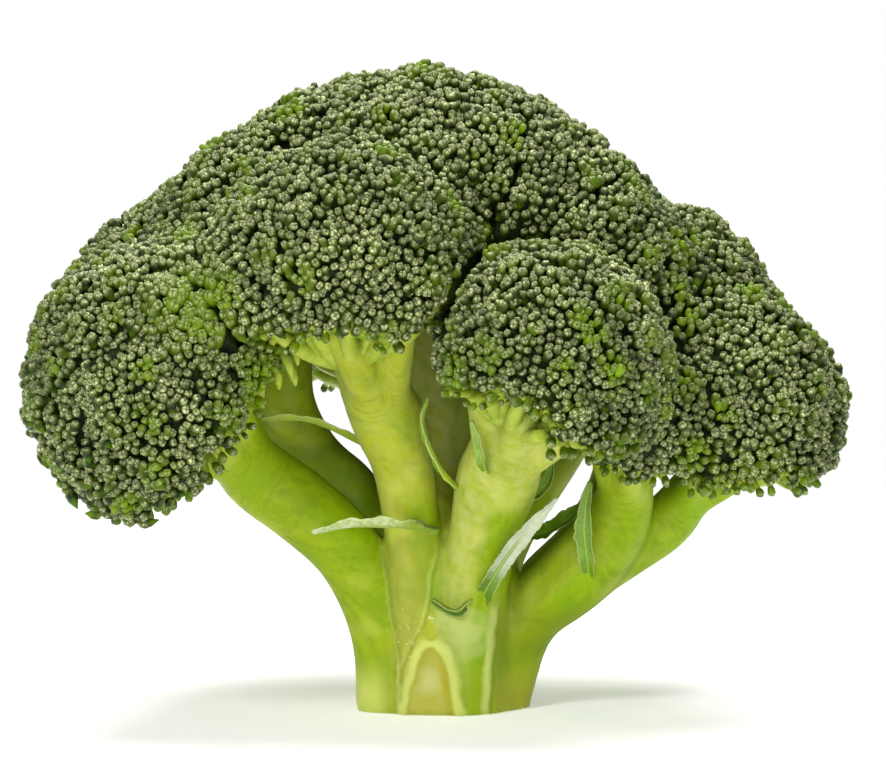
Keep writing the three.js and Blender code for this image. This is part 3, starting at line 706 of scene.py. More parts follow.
def swept(rings, starts, ends):
    """Closed skins from rings of points, one skin for each set: rings[skin, ring, side], with each ring
    turning to the right as the skin goes away, and a point that closes each end."""
    skins, count, sides = rings.shape[:3]
    points = np.concatenate([rings.reshape(skins, -1, 3), starts[:, None], ends[:, None]], axis=1)
    ring, side = np.meshgrid(np.arange(count - 1), np.arange(sides), indexing="ij")
    a = (ring * sides + side).ravel()
    b = (ring * sides + (side + 1) % sides).ravel()
    quads = np.stack([a, b, b + sides, a + sides], axis=1)
    side = np.arange(sides)
    following = (side + 1) % sides
    top = (count - 1) * sides
    foot = np.stack([following, side, np.full(sides, count * sides)], axis=1)
    tip = np.stack([top + side, top + following, np.full(sides, count * sides + 1)], axis=1)
    shift = (np.arange(skins) * points.shape[1])[:, None, None]
    triangles = (np.vstack([foot, tip])[None] + shift).reshape(-1, 3)
    return points.reshape(-1, 3), (quads[None] + shift).reshape(-1, 4), triangles


def blade(rib, half_width, edge, tooth_length, seed):
    """A leaf blade: across each ring the face rises to its edges as the square of the way out and ruffles
    there in waves of two lengths, and each edge narrows where a tooth ends. Both faces share the same
    points across."""
    line = curve_through(np.array(rib, float), 24)
    lengths = np.concatenate([[0], np.cumsum(np.linalg.norm(np.diff(line, axis=0), axis=1))])
    along = np.linspace(0, lengths[-1], round(lengths[-1] / LEAF_STEP))
    middle = np.stack([np.interp(along, lengths, line[:, n]) for n in range(3)], axis=1)
    tangent = unit(np.gradient(middle, axis=0))
    spread = np.array(edge, float)
    across = unit(spread - tangent * (tangent @ spread)[:, None])
    up = np.cross(across, tangent)
    width = np.interp(along / along[-1], np.linspace(0, 1, len(half_width)), half_width)[:, None]
    v = np.linspace(-1, 1, LEAF_COLUMNS)[None, :]
    narrow, wave = [], []
    for side in (1, 2):
        phase = (along + 0.7 * np.sin(along * 0.8 + seed + side)) / tooth_length + 0.4 * side
        shallow, deep = TOOTH_DEPTHS
        tooth = (phase % 1) * (shallow + (deep - shallow) * chance(seed + 10 * side + np.floor(phase)))
        narrow.append(1 - tooth)
        wave.append(sum(h * np.sin(along * turns + a * seed + b * side) for h, turns, a, b in WAVES))
    narrow, wave = (np.where(v < 0, left[:, None], right[:, None]) for left, right in (narrow, wave))
    ruffle = RUFFLE * np.abs(v) ** 1.6 * wave * np.clip(width, 0, 2) / 2
    rise = CUP * width * v**2 + ruffle
    side = v * width * narrow
    thickness = BLADE * (EDGE + (1 - EDGE) * (1 - v**2) * np.ones_like(side))
    thickness += MIDRIB * np.exp(-((v / 0.14) ** 2))
    upper = middle[:, None] + side[..., None] * across[:, None] + rise[..., None] * up[:, None]
    lower = upper - thickness[..., None] * up[:, None]
    rings = np.concatenate([upper, lower[:, ::-1]], axis=1)[None]
    points, quads, triangles = swept(rings, rings[:, 0].mean(axis=1), rings[:, -1].mean(axis=1))
    outer = np.broadcast_to(np.abs(v), side.shape)
    outer = np.concatenate([outer, outer[:, ::-1]], axis=1).ravel()
    below = np.concatenate([np.zeros_like(side), np.ones_like(side)], axis=1).ravel()
    share = np.repeat(along / along[-1], 2 * LEAF_COLUMNS)
    values = np.stack([outer, below, share], axis=1)
    return points, quads, triangles, np.vstack([values, (0, 0.5, 0), (0, 0.5, 1)])


def leaf_material():
    """Leaf skin: deep green above, pale under a bloom of wax below, with pale edges and midrib. The foot is
    fresh green with dark edges."""
    made, tree, shader, place = new_material("leaf_skin", 0.5, 0.2)
    outer, below, along = parts_of(tree, read(tree, "blade", "Vector"))
    pale, fresh = read(tree, "pale"), read(tree, "fresh")
    patches = noise(tree, place, 260.0, 2.0)
    deep = blend(tree, below, colour(60, 94, 4), colour(122, 146, 40))
    bright = blend(tree, below, colour(108, 146, 2), colour(162, 182, 26))
    rim = ramp(tree, outer, 0.8, 1.0, 0.0, 0.6)
    midrib = ramp(tree, outer, 0.16, 0.0, 0.0, 0.5)
    foot_edge = product(
        tree, ramp(tree, along, 0.34, 0.16), ramp(tree, outer, 0.7, 0.9, 0.0, 0.9),
        ramp(tree, fresh, 0.2, 0.8, 1.0, 0.0))
    streak = product(tree, ramp(tree, outer, 0.34, 0.12), ramp(tree, along, 0.8, 0.55))
    whitened = product(
        tree, ramp(tree, pale, 0.6, 1.0, 0.0, 0.85), ramp(tree, along, 0.36, 0.52),
        ramp(tree, streak, 0.0, 1.0, 1.0, 0.15))
    base = painted(tree, blend(tree, fresh, deep, bright), [
        (ramp(tree, patches, 0.3, 0.7, 0.0, 0.35), colour(92, 130, 8)),
        (reckon(tree, "MAXIMUM", rim, midrib), colour(186, 204, 104)),
        (foot_edge, colour(40, 66, 6)),
        (whitened, colour(178, 184, 160)),
    ])
    amount = product(
        tree, pale, ramp(tree, below, 0.2, 0.8, 0.3, 1.0), ramp(tree, along, 0.25, 0.5, 0.1, 1.0),
        ramp(tree, streak, 0.0, 1.0, 1.0, 0.3))
    inputs = {"Vector": place, "Scale": 1400.0, "Base": base, "Wax": colour(208, 214, 184), "Amount": amount}
    waxed(tree, shader, inputs, 0.6, 0.0004)
    return made


leaf_skin = leaf_material()
for order, (name, (rib, half_width, edge, pale, fresh, tooth_length)) in enumerate(LEAVES.items()):
    points, quads, triangles, values = blade(rib, half_width, edge, tooth_length, order)
    leaf = smooth_mesh(name + "_blade", points, [quads, triangles], {
        "blade": values, "pale": np.full(len(points), pale), "fresh": np.full(len(points), fresh)})
    leaf.data.materials.append(leaf_skin)
    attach(leaf, "root")
    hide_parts(name)

# ---- Florets ------------------------------------------------------------------------------------------
# Each floret is a dome of flower buds on short stalks. The buds grow in sprays, the youngest and smallest
# in the middle, on the spiral of the golden angle. A bud is four folded green sepals under a grey bloom
# of wax. Between the buds lies the dark green of their stalks, darkened to near black as painted shade.

BUD_PITCH = 1.95  # between full-grown neighbours
BUD_SIDES = 8
BUD_LENGTH = 3.7
BUD_WIDTH = 2.1
BUD_ROOM = 0.62  # how far a bud's middle stays from a flat
CORE_DEPTH = 3.3  # from the bud tips down to the mass of bud stalks
BUD_PROFILE = np.array([(0.45, 0.9), (0.78, 0.96), (0.97, 0.5)])  # height, radius
BUD_LOBES = np.array([0.03, 0.09, 0.16])  # how far the sepals' backs stand out at each height
BUD_DIMPLE = 0.94  # the height of the dip between the sepal tips
SPRAY_SWELL = 1.5  # how much lower the buds are at the edge of a spray
LEAN = 0.4  # how far the buds turn upwards to the light
RIM_PITCH = 2.0  # between the buds that hang below a floret's rim
MERGE = 2.6  # how softly neighbouring domes run together
DOME_STEPS = 7  # by which a direction is followed out to the crown's skin
NO_FLAT = 50.0  # stands for the depth inside a flat where there is none
RIM_SOFTNESS = math.radians(7)  # how far below its rim a dome fades out
PARTED = "front_right"  # the dome with a cleft all round it
SPRAY_DRAW = 3.2  # how much farther some sprays reach than others
SPRAY_EDGE = 6.3  # from a spray's middle to where its buds are SPRAY_SWELL lower
SPRAY_STEP = 1.0  # how much higher some sprays stand than others
BUD_STEP = 1.4  # and some buds than others
FAN = 1.7  # how far a spray's buds lean out from its middle
STRAY = 1.3  # how far a bud leans by chance
ROUNDS = 12  # in which the buds push each other apart
PUSH = 0.32  # how much of their overlap goes in one round
BUD_PATCHES = [  # patches of yellower buds: the middle, the reach, how much larger or smaller, how yellow
    ((-46.5, -50, 81.5), 12.5, 0.3, 0.8),
    ((-31, -46, 68), 12.0, -0.25, 1.0),
    ((-13, -60, 71), 9.0, -0.2, 0.7),
    ((52, -30, 44), 15.0, -0.1, 0.8),
    ((8, -60, 58), 8.0, -0.1, 0.5),
]


def bases(ways, spin):
    """Two unit vectors square to each way and to each other, turned round it by the spin."""
    upright = np.abs(ways[:, 2:]) < 0.9
    first = unit(np.cross(ways, np.where(upright, (0, 0, 1), (1, 0, 0))))
    second = np.cross(ways, first)
    c, s = np.cos(spin)[:, None], np.sin(spin)[:, None]
    return c * first + s * second, c * second - s * first


def merged_with(floret):
    """The florets whose domes run into this one's, and itself."""
    return [o for o in florets if o is floret or PARTED not in (o["name"], floret["name"])]


def nearness(points, middle, reach, steepness=1.6):
    """1 near a middle, falling straight to 0 at the reach."""
    return np.clip(steepness - steepness * np.linalg.norm(points - middle, axis=1) / reach, 0, 1)


NOTCHES = {  # where a floret's rim is drawn back: the middle, the reach, how far back as an angle
    "front_right": ((13, -67, 58), 17.0, 0.3),
    "right": ((64, -24, 44), 14.0, 0.2),
    "left": ((-62, -46, 46), 14.0, 0.15),
}


def rim_angle(floret, ways):
    """How far down a floret's buds go on each side: its rim, two waves round it and a notch."""
    seed = floret["seed"]
    first, second = (direction(floret["facing"], math.pi / 2, turn) for turn in (0, math.pi / 2))
    turn = np.arctan2(ways @ second, ways @ first)
    angle = floret["rim"] + 0.05 * np.sin(5 * turn + seed) + 0.04 * np.sin(9 * turn + 2 * seed)
    if floret["name"] in NOTCHES:
        middle, reach, depth = NOTCHES[floret["name"]]
        angle = angle - depth * nearness(floret["centre"] + floret["radius"] * ways, middle, reach, 1.5)
    return angle


def above_rim(others, ways):
    """Whether each direction from each floret's centre is above its rim: 1 above, falling softly to 0 a
    little way below, where the floret has no buds."""
    facings = np.array([o["facing"] for o in others])
    rims = np.array([o["rim"] for o in others])
    past = np.arccos(np.clip((ways * facings).sum(axis=-1), -1, 1)) - rims
    return np.clip(1 - past / RIM_SOFTNESS, 0, 1)


def dome(floret, ways):
    """How far the crown's skin is from a floret's centre, and the way it faces there: the zero level of
    the soft least of the distances to the domes, found by stepping out along each direction."""
    others = merged_with(floret)
    centres = np.array([o["centre"] for o in others])
    radii = np.array([o["radius"] for o in others])
    itself = np.array([o is floret for o in others])
    reach = np.full(len(ways), float(floret["radius"]))
    for _ in range(DOME_STEPS):
        away = (floret["centre"] + reach[:, None] * ways)[:, None] - centres
        apart = np.linalg.norm(away, axis=2)
        there = np.maximum(above_rim(others, away / apart[..., None]), itself)
        pull = there * np.exp(-np.clip(apart - radii, -20, 60) / MERGE)
        reach = reach + MERGE * np.log(pull.sum(axis=1))
    normals = unit((pull[..., None] * away / apart[..., None]).sum(axis=1))
    return reach, normals


def room(floret, points):
    """How far each point is inside the floret's flats, where it presses on the others, and which flat. A
    flat ends below the other floret's rim."""
    depth = floret["distances"] - (points - floret["centre"]) @ floret["normals"].T
    others = floret["touching"]
    away = unit(points[:, None] - np.array([o["centre"] for o in others]))
    depth = np.where(above_rim(others, away) > 0, depth, NO_FLAT)
    nearest = depth.argmin(axis=1)
    return depth[np.arange(len(points)), nearest], floret["normals"][nearest]


def close_pairs(points, reach):
    """Every two points that are nearer than a reach."""
    firsts, seconds = [], []
    for start in range(0, len(points), 400):
        apart = ((points[start : start + 400, None] - points[None]) ** 2).sum(axis=2)
        a, b = np.nonzero(apart < reach * reach)
        keep = a + start < b
        firsts.append(a[keep] + start)
        seconds.append(b[keep])
    return np.concatenate(firsts), np.concatenate(seconds)


def spray_place(floret, ways):
    """For each direction, its nearest spray and how far it is from the middle of it."""
    count = len(floret["sprays"])
    away = np.arccos(np.clip(ways @ floret["sprays"].T, -1, 1)) * floret["radius"]
    away = away - SPRAY_DRAW * chance(floret["seed"] + 20 + 13 * np.arange(count))
    nearest = away.argmin(axis=1)
    wobble = 0.8 * np.sin(ways @ (9, 14, 5)) + 0.8 * np.sin(ways @ (-13, 6, 12) + nearest)
    return nearest, np.clip(away[np.arange(len(ways)), nearest] + SPRAY_DRAW / 2 + wobble, 0, None)


def youth_of(floret, ways):
    """Young, small buds lie in the middle of a spray, in some sprays more than in others."""
    nearest, out = spray_place(floret, ways)
    ripe = chance(floret["seed"] + 40 + 97 * nearest)
    return np.clip(1.15 - out / 3.4, 0, 1) * (0.15 + 0.85 * ripe)


def bud_places(floret):
    """Directions of the buds: the spiral, pushed apart a little at a time until each has the room that
    its size needs, within the rim and the flats. What is still too near a flat or another bud goes."""
    centre, facing = floret["centre"], floret["facing"]
    ways = spiral(floret, 0.93 * BUD_PITCH, floret["seed"] + 500, 0.1)
    ways = ways[np.arccos(np.clip(ways @ facing, -1, 1)) < rim_angle(floret, ways)]
    reach, _ = dome(floret, ways)
    depth, _ = room(floret, centre + reach[:, None] * ways)
    ways = ways[depth > -0.8]
    for turn in range(ROUNDS):
        if turn % 4 == 0:  # the dome, the sizes and the neighbours change too little to be found each time
            reach, _ = dome(floret, ways)
            sizes = bud_sizes(floret, centre + reach[:, None] * ways, ways)
            a, b = close_pairs(centre + reach[:, None] * ways, 1.5 * BUD_PITCH)
        places = centre + reach[:, None] * ways
        gap = places[a] - places[b]
        apart = np.linalg.norm(gap, axis=1)
        push = np.clip(0.5 * BUD_PITCH * (sizes[a] + sizes[b]) - apart, 0, None) * PUSH
        step = gap / (apart[:, None] + 1e-6) * push[:, None]
        for n in range(3):
            places[:, n] += np.bincount(a, step[:, n], len(ways)) - np.bincount(b, step[:, n], len(ways))
        depth, normal = room(floret, places)
        places += np.clip(depth - BUD_ROOM, None, 0)[:, None] * normal
        ways = unit(places - centre)
        past = np.arccos(np.clip(ways @ facing, -1, 1)) - rim_angle(floret, ways)
        ways = unit(ways + np.clip(past, 0, None)[:, None] * facing)
    reach, _ = dome(floret, ways)
    places = centre + reach[:, None] * ways
    stay = room(floret, places)[0] > 0.45
    a, b = close_pairs(places, 0.62 * BUD_PITCH)
    stay[b] = False
    return ways[stay]


def bud_sizes(floret, places, ways):
    """A bud's size as a share of a full one: less in the middle of a spray, more or less in a patch."""
    sizes = 1 - 0.26 * youth_of(floret, ways)
    for middle, reach, larger, _ in BUD_PATCHES:
        sizes += larger * nearness(places, middle, reach)
    return sizes


def spray_buds(floret):
    """The tips, axes, sizes and youth of a floret's buds. Each spray is a smaller dome on the floret's
    dome, so its buds are lower and lean out towards its edge."""
    ways = bud_places(floret)
    seed = floret["seed"] + 5000 + 7 * np.arange(len(ways))
    reach, normals = dome(floret, ways)
    nearest, out = spray_place(floret, ways)
    lift = SPRAY_STEP * (0.5 - chance(floret["seed"] + 60 + 31 * nearest))
    lift -= SPRAY_SWELL * np.clip(out / SPRAY_EDGE, 0, 1.2) ** 2
    lift += BUD_STEP * (chance(seed) - 0.5)
    tips = floret["centre"] + (reach + lift)[:, None] * ways
    outwards = ways - floret["sprays"][nearest]
    stray = np.stack([chance(seed + n) - 0.5 for n in (1, 2, 3)], axis=1)
    axes = unit(normals + FAN * outwards + STRAY * stray + LEAN * np.array([0, 0, 1]))
    youth = youth_of(floret, ways)
    sizes = bud_sizes(floret, tips, ways) * (0.82 + 0.3 * chance(seed + 4))
    return tips, axes, sizes, youth


def bud_meshes(tips, axes, sizes, own, seed):
    """Every bud at once: rings of the profile round its axis, a little square where four sepals fold, and
    a dimple at the tip. The values of a point are its place in its own bud."""
    count = len(tips)
    draw = seed + 17 * np.arange(count)
    first, second = bases(axes, 6.283 * chance(draw))
    angles = np.arange(BUD_SIDES) * 2 * math.pi / BUD_SIDES
    lobe = 1 - BUD_LOBES[:, None] * np.cos(4 * angles)
    length = (BUD_LENGTH * sizes * (0.92 + 0.2 * chance(draw + 1)))[:, None, None, None]
    width = (BUD_WIDTH / 2 * sizes * (0.94 + 0.12 * chance(draw + 2)))[:, None, None, None]
    squash = (0.88 + 0.26 * chance(draw + 3))[:, None, None, None]
    level, radius = BUD_PROFILE.T[:, None, :, None, None]
    x = (np.cos(angles) * lobe)[None, ..., None] * radius
    y = (np.sin(angles) * lobe)[None, ..., None] * radius
    feet = tips - length[:, 0, 0] * axes
    rise = level * length * axes[:, None, None]
    rings = feet[:, None, None] + rise + width * (
        squash * x * first[:, None, None] + y * second[:, None, None] / squash)
    points, quads, triangles = swept(rings, feet, feet + BUD_DIMPLE * length[:, 0, 0] * axes)
    shape = (count, len(BUD_PROFILE), BUD_SIDES)
    local = np.stack([np.broadcast_to(value[..., 0], shape) for value in (x, y, level)], axis=-1)
    ends = np.broadcast_to(np.array([(0, 0, 0), (0, 0, BUD_DIMPLE)], float), (count, 2, 3))
    local = np.concatenate([local.reshape(count, -1, 3), ends], axis=1)
    owns = np.broadcast_to(own[:, None], (count, local.shape[1], 3))
    return points, quads, triangles, local.reshape(-1, 3), owns.reshape(-1, 3)


HANG = {"right_low": 0.5, "right": 0.3, "front_right": 0.28}  # how far below the rim the last buds hang
OTHER_HANG = 0.22  # as an angle
RIM_TUCK = 0.45  # how much nearer the middle a bud is, against the radius, for each radian past the rim
RIM_SIZES = (0.62, 0.98)
RIM_STALK_RADII = np.linspace(1.2, 0.55, 5)


def bent(starts, bends, ends, steps):
    """Paths from starts to ends, drawn towards the bends: the three points times the square of what is
    left of the way, twice what is left times what is done, and the square of what is done."""
    t = np.linspace(0, 1, steps)[None, :, None]
    return (1 - t) ** 2 * starts[:, None] + 2 * t * (1 - t) * bends[:, None] + t**2 * ends[:, None]


def rim_buds(floret):
    """Buds that hang below a floret's rim, each at the end of a stalk that bends out from the underside:
    their tips, axes, sizes and youth, and the stalks' paths."""
    centre, facing, radius, rim = floret["centre"], floret["facing"], floret["radius"], floret["rim"]
    count = round(2 * math.pi * radius * math.sin(rim) / RIM_PITCH)
    n = np.arange(count)
    seed = floret["seed"] + 9000 + 11 * n
    turn = (n + 0.7 * chance(seed)) * 2 * math.pi / count
    level = rim_angle(floret, direction(facing, rim, turn))
    past = level + 0.02 + HANG.get(floret["name"], OTHER_HANG) * chance(seed + 1) ** 1.6
    ways = direction(facing, past, turn)
    share = 1 - RIM_TUCK * (past - rim) - 0.06 * chance(seed + 2)
    tips = centre + (radius * share)[:, None] * ways
    stray = np.stack([chance(seed + n) - 0.5 for n in (3, 4, 5)], axis=1)
    axes = unit(ways - 0.3 * facing + 0.9 * stray)
    small, large = RIM_SIZES
    sizes = small + (large - small) * chance(seed + 6)
    feet = tips - (0.9 * BUD_LENGTH * sizes)[:, None] * axes
    inner = centre + 0.5 * radius * direction(facing, past + 0.16, turn)
    paths = bent(inner, feet - 2.4 * axes, feet + 0.9 * axes, len(RIM_STALK_RADII))
    free = room(floret, tips)[0] > 1.2
    for other in florets:
        if other is not floret:
            free &= np.linalg.norm(tips - other["centre"], axis=1) > other["radius"] - 0.5
    youth = 0.15 + 0.75 * chance(seed + 7)
    return tips[free], axes[free], sizes[free], youth[free], paths[free]


CORE_RINGS = 24
CORE_SIDES = 48
CORE_SHARES = ((-10, 1), (0, 0.97), (10, 0.74), (36, 0.42), (90, 0.3))  # degrees past the rim, of the radius


def core_mesh(floret):
    """The mass of bud stalks under the tips: a dome CORE_DEPTH lower than the tips, flattened where
    florets press on each other, and a shallower bowl with radial folds below the rim. The values of a
    point say how far it is below the rim and how deep it lies in a fold's trough, for painted shade there."""
    seed = floret["seed"]
    angles = np.linspace(math.pi - 0.04, 0.04, CORE_RINGS)
    turns = np.arange(CORE_SIDES) * 2 * math.pi / CORE_SIDES
    ways = direction(floret["facing"], angles[:, None], turns[None, :])
    level = rim_angle(floret, ways.reshape(-1, 3)).reshape(ways.shape[:2])
    past = np.degrees(angles[:, None] - level)
    share = np.interp(past, *zip(*CORE_SHARES))
    crown = dome(floret, ways.reshape(-1, 3))[0].reshape(ways.shape[:2])
    above = np.clip(-past / 20, 0, 1)
    reach = share * floret["radius"] * (1 - above) + crown * above
    reach -= CORE_DEPTH * np.clip(share * 1.6 - 0.6, 0.5, 1)
    below = np.clip((past + 6) / 10, 0, 1)
    folds = np.sin(11 * turns + 2 * np.sin(3 * turns + seed)) + 0.7 * np.sin(17 * turns + seed)
    reach += 0.9 * below * np.clip(1.6 - past / 40, 0, 1) * folds
    lean = ways @ floret["normals"].T
    flat = np.where(lean > 1e-6, (floret["distances"] - 0.3) / np.where(lean > 1e-6, lean, 1), np.inf)
    others = floret["touching"]
    meeting = floret["centre"] + np.clip(flat, 0, 60)[..., None] * ways[:, :, None]
    away = unit(meeting - np.array([o["centre"] for o in others]))
    flat = np.where(above_rim(others, away) > 0, flat, np.inf)
    reach = np.minimum(reach, flat.min(axis=-1))
    rings = (floret["centre"] + reach[..., None] * ways)[None]
    starts, ends = rings[:, 0].mean(axis=1), rings[:, -1].mean(axis=1)
    own = np.zeros((rings[0].size // 3 + 2, 3))
    own[:-2, 0] = below.ravel()
    # How deep in the troughs of the folds a point lies, for painted shade there.
    own[:-2, 1] = np.tile(np.clip(0.5 - 0.4 * folds, 0, 1), len(angles))
    own[-2, 0] = 1
    return *swept(rings, starts, ends), own


def tubes(paths, radii, sides):
    """Round stalks along paths, one for each: paths[stalk, step], with a radius for each step."""
    tangents = unit(np.gradient(paths, axis=1))
    count, steps = paths.shape[:2]
    flat = tangents.reshape(-1, 3)
    guide = unit(paths[:, -1] - paths[:, 0])
    first, _ = bases(guide, np.zeros(count))
    first = np.repeat(first, steps, axis=0)
    first = unit(first - flat * (first * flat).sum(axis=1, keepdims=True))
    second = np.cross(flat, first)
    angles = np.arange(sides) * 2 * math.pi / sides
    ring = np.cos(angles)[None, :, None] * first[:, None] + np.sin(angles)[None, :, None] * second[:, None]
    rings = paths[:, :, None] + radii[None, :, None, None] * ring.reshape(count, steps, sides, 3)
    return swept(rings, paths[:, 0], paths[:, -1])


STALKLET_RADII = np.linspace(2.2, 1.2, 7)
STALKLET_START = math.radians(48)  # sprays nearer the dome's top than this have none in sight


def stalklets(floret):
    """The finer branches below the rim: from the neck, out along the underside and up to each spray."""
    centre, facing, radius = floret["centre"], floret["facing"], floret["radius"]
    sprays = floret["sprays"]
    level = sprays @ facing
    near = sprays[level < math.cos(STALKLET_START)]
    outwards = unit(near - (near @ facing)[:, None] * facing)
    hub = centre - 0.5 * radius * facing
    start = hub + 0.1 * radius * outwards
    bend = centre + radius * (0.6 * outwards - 0.3 * facing)
    end = centre + (radius - 3.6) * near
    paths = bent(start, bend, end, len(STALKLET_RADII))
    return tubes(paths[room(floret, end)[0] > 1.5], STALKLET_RADII, 7)


def bud_material():
    """Sepal skin: yellow-green at the foot, deep green up the sides, darkened further there as painted shade
    between the buds, grey with wax towards the tip, where the sepals meet in four creases darkened as
    painted shade, with pale lips that are partly painted highlights. Young buds are yellower."""
    made, tree, shader, place = new_material("bud_skin", 0.42, 0.15)
    x, y, height = parts_of(tree, read(tree, "bud", "Vector"))
    youth, draw, _ = parts_of(tree, read(tree, "own", "Vector"))
    line = reckon(tree, "MINIMUM", reckon(tree, "ABSOLUTE", x), reckon(tree, "ABSOLUTE", y))
    out = flat_length(tree, x, y)
    top = ramp(tree, height, 0.72, 0.9)
    # Pale lips round the dimple and along the creases: partly pale sepal margins, partly painted highlight,
    # broken up by mottling.
    highlight_breaks = ramp(tree, noise(tree, place, 850.0, 1.0), 0.4, 0.6, 0.2, 1.0)
    ring = product(tree, ramp(tree, off_by(tree, out, 0.55), 0.24, 0.06), highlight_breaks)
    lip_highlight = product(tree, reckon(tree, "MAXIMUM", ring, ramp(tree, line, 0.36, 0.22, 0.0, 0.6)), top)
    # Painted shade in the four creases where the sepals meet and in the dimple at the tip.
    crease = reckon(tree, "MAXIMUM", ramp(tree, line, 0.16, 0.07, 0.0, 0.8), ramp(tree, out, 0.32, 0.12))
    crease = product(tree, crease, top)
    # From the foot up the sides, deep green made darker still as painted shade between the buds.
    base = painted(tree, colour(80, 114, 2), [
        (ramp(tree, height, 0.2, 0.6), colour(24, 38, 5)),
        (product(tree, youth, 0.9), colour(122, 154, 10)),
        (product(tree, draw, 0.4), colour(30, 46, 8)),
        (product(tree, crease, 0.8), colour(20, 32, 4)),
    ])
    patches = noise(tree, place, 55.0, 1.0)
    amount = product(
        tree, ramp(tree, height, 0.62, 0.94), ramp(tree, patches, 0.3, 0.7, 0.6, 1.0),
        ramp(tree, draw, 0.0, 1.0, 0.7, 1.0), ramp(tree, youth, 0.0, 1.0, 1.0, 0.35),
        ramp(tree, crease, 0.0, 1.0, 1.0, 0.25))
    wax = blend(tree, product(tree, lip_highlight, 0.85), colour(112, 129, 52), colour(240, 247, 182))
    inputs = {"Vector": place, "Scale": 900.0, "Base": base, "Wax": wax, "Amount": amount}
    waxed(tree, shader, inputs, 0.35, 0.00025)
    return made


def core_material():
    """The tangle of bud stalks: dark green and mottled deep between the buds, darkened there to near black as
    painted shade; bright yellow-green and rumpled on the underside, with painted shade in its folds' troughs."""
    made, tree, shader, place = new_material("bud_stalks", 0.6, 0.2)
    below, fold_shade, _ = parts_of(tree, read(tree, "own", "Vector"))
    blotches = noise(tree, place, 520.0, 3.0)
    blotched = ramp(tree, blotches, 0.35, 0.65)
    # Deep between the buds the stalks' dark green is darkened to near black: painted shade.
    deep = blend(tree, blotched, colour(14, 24, 2), colour(30, 46, 5))
    bright = blend(tree, blotched, colour(120, 150, 18), colour(174, 194, 66))
    bright = blend(tree, product(tree, fold_shade, 0.8), bright, colour(84, 116, 10))
    bump = add(tree, "Bump", {"Height": blotches, "Strength": 1.0, "Distance": 0.0015})
    feed(tree, shader, {"Base Color": blend(tree, below, deep, bright), "Normal": bump.outputs[0]})
    return made


def stalklet_material():
    """Fine branches: bright yellow-green, under a little wax."""
    made, tree, shader, place = new_material("stalklet_skin", 0.5, 0.15)
    blotches = noise(tree, place, 300.0, 2.0)
    base = blend(tree, ramp(tree, blotches, 0.3, 0.7), colour(130, 154, 20), colour(168, 178, 62))
    inputs = {"Vector": place, "Scale": 700.0, "Base": base, "Wax": colour(190, 204, 112), "Amount": 0.2}
    waxed(tree, shader, inputs, 0.2, 0.0003)
    return made


# Where the left floret's side is broken open, bare stalks bend out past its last buds: start, bend, end.
BARE_STALKS = np.array([
    [(-37, -30, 76), (-29, -44, 80), (-27.5, -41, 70.5)],
    [(-38, -30, 73), (-30, -45, 77), (-28.5, -43, 68)],
    [(-38, -29, 70), (-31, -44, 73), (-31, -43.5, 66)],
    [(-36, -28, 77), (-27, -41, 79), (-25.5, -38, 73)],
    [(-39, -29, 68), (-34, -44, 70), (-34.5, -44, 63.5)],
    [(-37, -27, 72), (-29, -40, 73), (-28, -39, 66.5)],
], float)
BARE_RADII = np.array([0.9, 0.75, 0.65, 0.6, 0.6, 0.65, 0.8, 0.95, 0.8, 0.25])


def bare_stalks():
    """The stalks along those bends, each a little swollen at its broken end."""
    return tubes(bent(*BARE_STALKS.transpose(1, 0, 2), len(BARE_RADII)), BARE_RADII, 8)


bud_skin, bud_stalks, stalklet_skin = bud_material(), core_material(), stalklet_material()
for floret in florets:
    tips, axes, sizes, youth = spray_buds(floret)
    *hanging, paths = rim_buds(floret)
    tips, axes, sizes, youth = (np.concatenate(pair) for pair in zip((tips, axes, sizes, youth), hanging))
    for middle, reach, _, yellow in BUD_PATCHES:
        youth = np.maximum(youth, yellow * nearness(tips, middle, reach))
    draws = chance(floret["seed"] + 300 + 3 * np.arange(len(tips)))
    own = np.stack([youth, draws, 0 * draws], axis=1)
    stalks = [stalklets(floret)]
    if len(paths):
        stalks.append(tubes(paths, RIM_STALK_RADII, 5))
    if floret["name"] == "left":
        stalks.append(bare_stalks())
    *core, below = core_mesh(floret)
    parts = [(*bud_meshes(tips, axes, sizes, own, floret["seed"]), 0), (*core, 0 * core[0], below, 1)]
    parts += [(*made, 0 * made[0], 0 * made[0], 2) for made in stalks]
    shift = 0
    blocks, numbers = [], []
    for points, quads, triangles, _, _, number in parts:
        blocks += [quads + shift, triangles + shift]
        numbers += [np.full(len(quads) + len(triangles), number)]
        shift += len(points)
    buds = smooth_mesh(
        "buds_" + floret["name"],
        np.vstack([part[0] for part in parts]),
        blocks,
        {"bud": np.vstack([part[3] for part in parts]), "own": np.vstack([part[4] for part in parts])},
        np.concatenate(numbers),
    )
    for material in (bud_skin, bud_stalks, stalklet_skin):
        buds.data.materials.append(material)
    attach(buds, "root")
    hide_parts("floret_" + floret["name"])

# ---- Studio -------------------------------------------------------------------------------------------
# A white floor in white surroundings, a soft light high on the left in front, a broad one straight above,
# a weak one low in front, and a camera level with the crown.

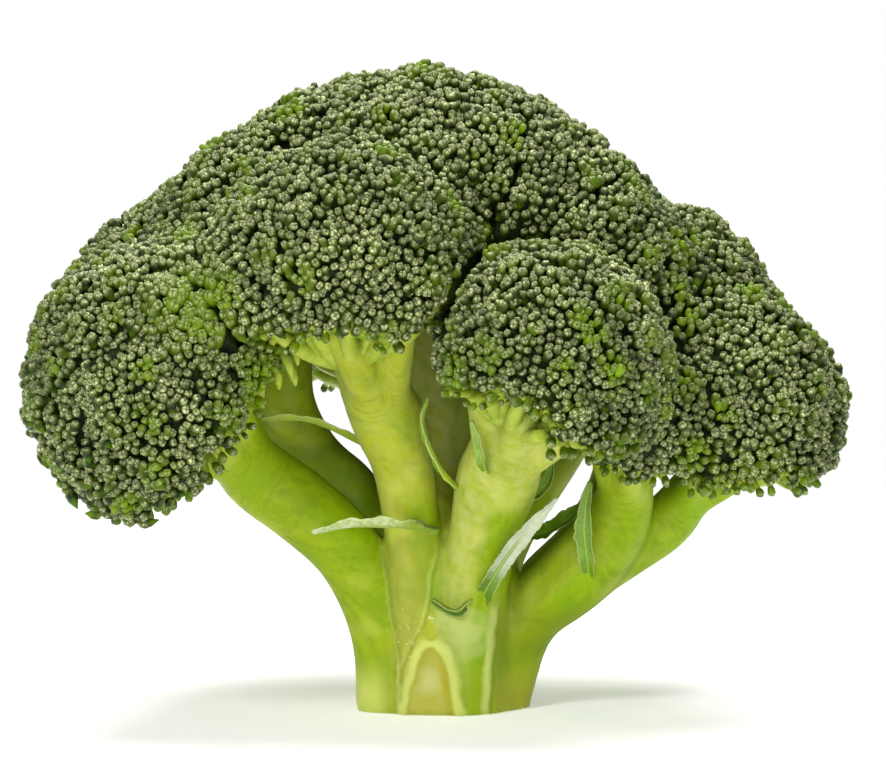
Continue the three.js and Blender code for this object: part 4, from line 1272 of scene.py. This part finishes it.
SURROUNDINGS = 0.26  # how bright the white room is to the object
FLOOR_GLOW = 0.345  # what the floor adds of its own, to come out as white as the room
FLOOR_RADIUS = 600
FLOOR_SIDES = 96
FLOOR_FADE = (0.22, 0.55)  # in metres from the middle, where it fades into the surroundings
around = np.arange(FLOOR_SIDES)
turns = around * 2 * math.pi / FLOOR_SIDES
edge = np.stack([np.cos(turns), np.sin(turns), 0 * turns], axis=1) * FLOOR_RADIUS
slices = np.stack([around, (around + 1) % FLOOR_SIDES, 0 * around + FLOOR_SIDES], axis=1)
floor = smooth_mesh("floor", np.vstack([edge, (0, 0, 0)]) - (0, 0, 0.1), [slices])
floor_white, tree, shader, place = new_material("floor_white", 0.9, 0.1)
feed(tree, shader, {
    "Base Color": (0.92, 0.92, 0.92, 1),
    "Alpha": ramp(tree, distance_to(tree, place, (0, 0, 0)), *FLOOR_FADE, 1.0, 0.0),
    "Emission Color": (1, 1, 1, 1),
    "Emission Strength": FLOOR_GLOW,
})
floor.data.materials.append(floor_white)

world = bpy.data.worlds.new("surroundings")
world.use_nodes = True
tree = world.node_tree
seen = add(tree, "LightPath").outputs["Is Camera Ray"]
feed(tree, tree.nodes["Background"], {
    "Color": (1, 1, 1, 1), "Strength": ramp(tree, seen, 0.0, 1.0, SURROUNDINGS, 1.0)})
bpy.context.scene.world = world

LIGHTS = {
    # name: (where it hangs, where it aims, the side of its square, all in metres, its power in watts)
    "key": ((-0.45, -0.8, 0.6), (0, 0, 0.07), 0.25, 5.8),
    "overhead": ((0.05, 0.2, 0.9), (0, 0, 0), 0.8, 14.5),
    "front": ((0.12, -1.1, 0.14), (0, 0, 0.07), 0.4, 3.6),
}
for name, (place, aim, size, power) in LIGHTS.items():
    lamp = bpy.data.lights.new(name, "AREA")
    lamp.size = size
    lamp.energy = power
    light = bpy.data.objects.new(name, lamp)
    light.location = place
    x, y, z = np.array(aim) - np.array(place)
    light.rotation_euler = (math.atan2(math.hypot(x, y), -z), 0, math.atan2(y, x) - math.pi / 2)
    bpy.context.scene.collection.objects.link(light)

VIEW_DISTANCE = 0.8  # metres, as are the heights
CAMERA_HEIGHT = 0.11
AIM_HEIGHT = 0.0644
camera_data = bpy.data.cameras.new("camera")
camera_data.lens = 162.8
camera_data.sensor_width = 36
camera = bpy.data.objects.new("camera", camera_data)
camera.location = (0, -VIEW_DISTANCE, CAMERA_HEIGHT)
camera.rotation_euler = (math.pi / 2 - math.atan2(CAMERA_HEIGHT - AIM_HEIGHT, VIEW_DISTANCE), 0, 0)
bpy.context.scene.collection.objects.link(camera)
bpy.context.scene.camera = camera
bpy.context.scene.view_settings.view_transform = "Standard"
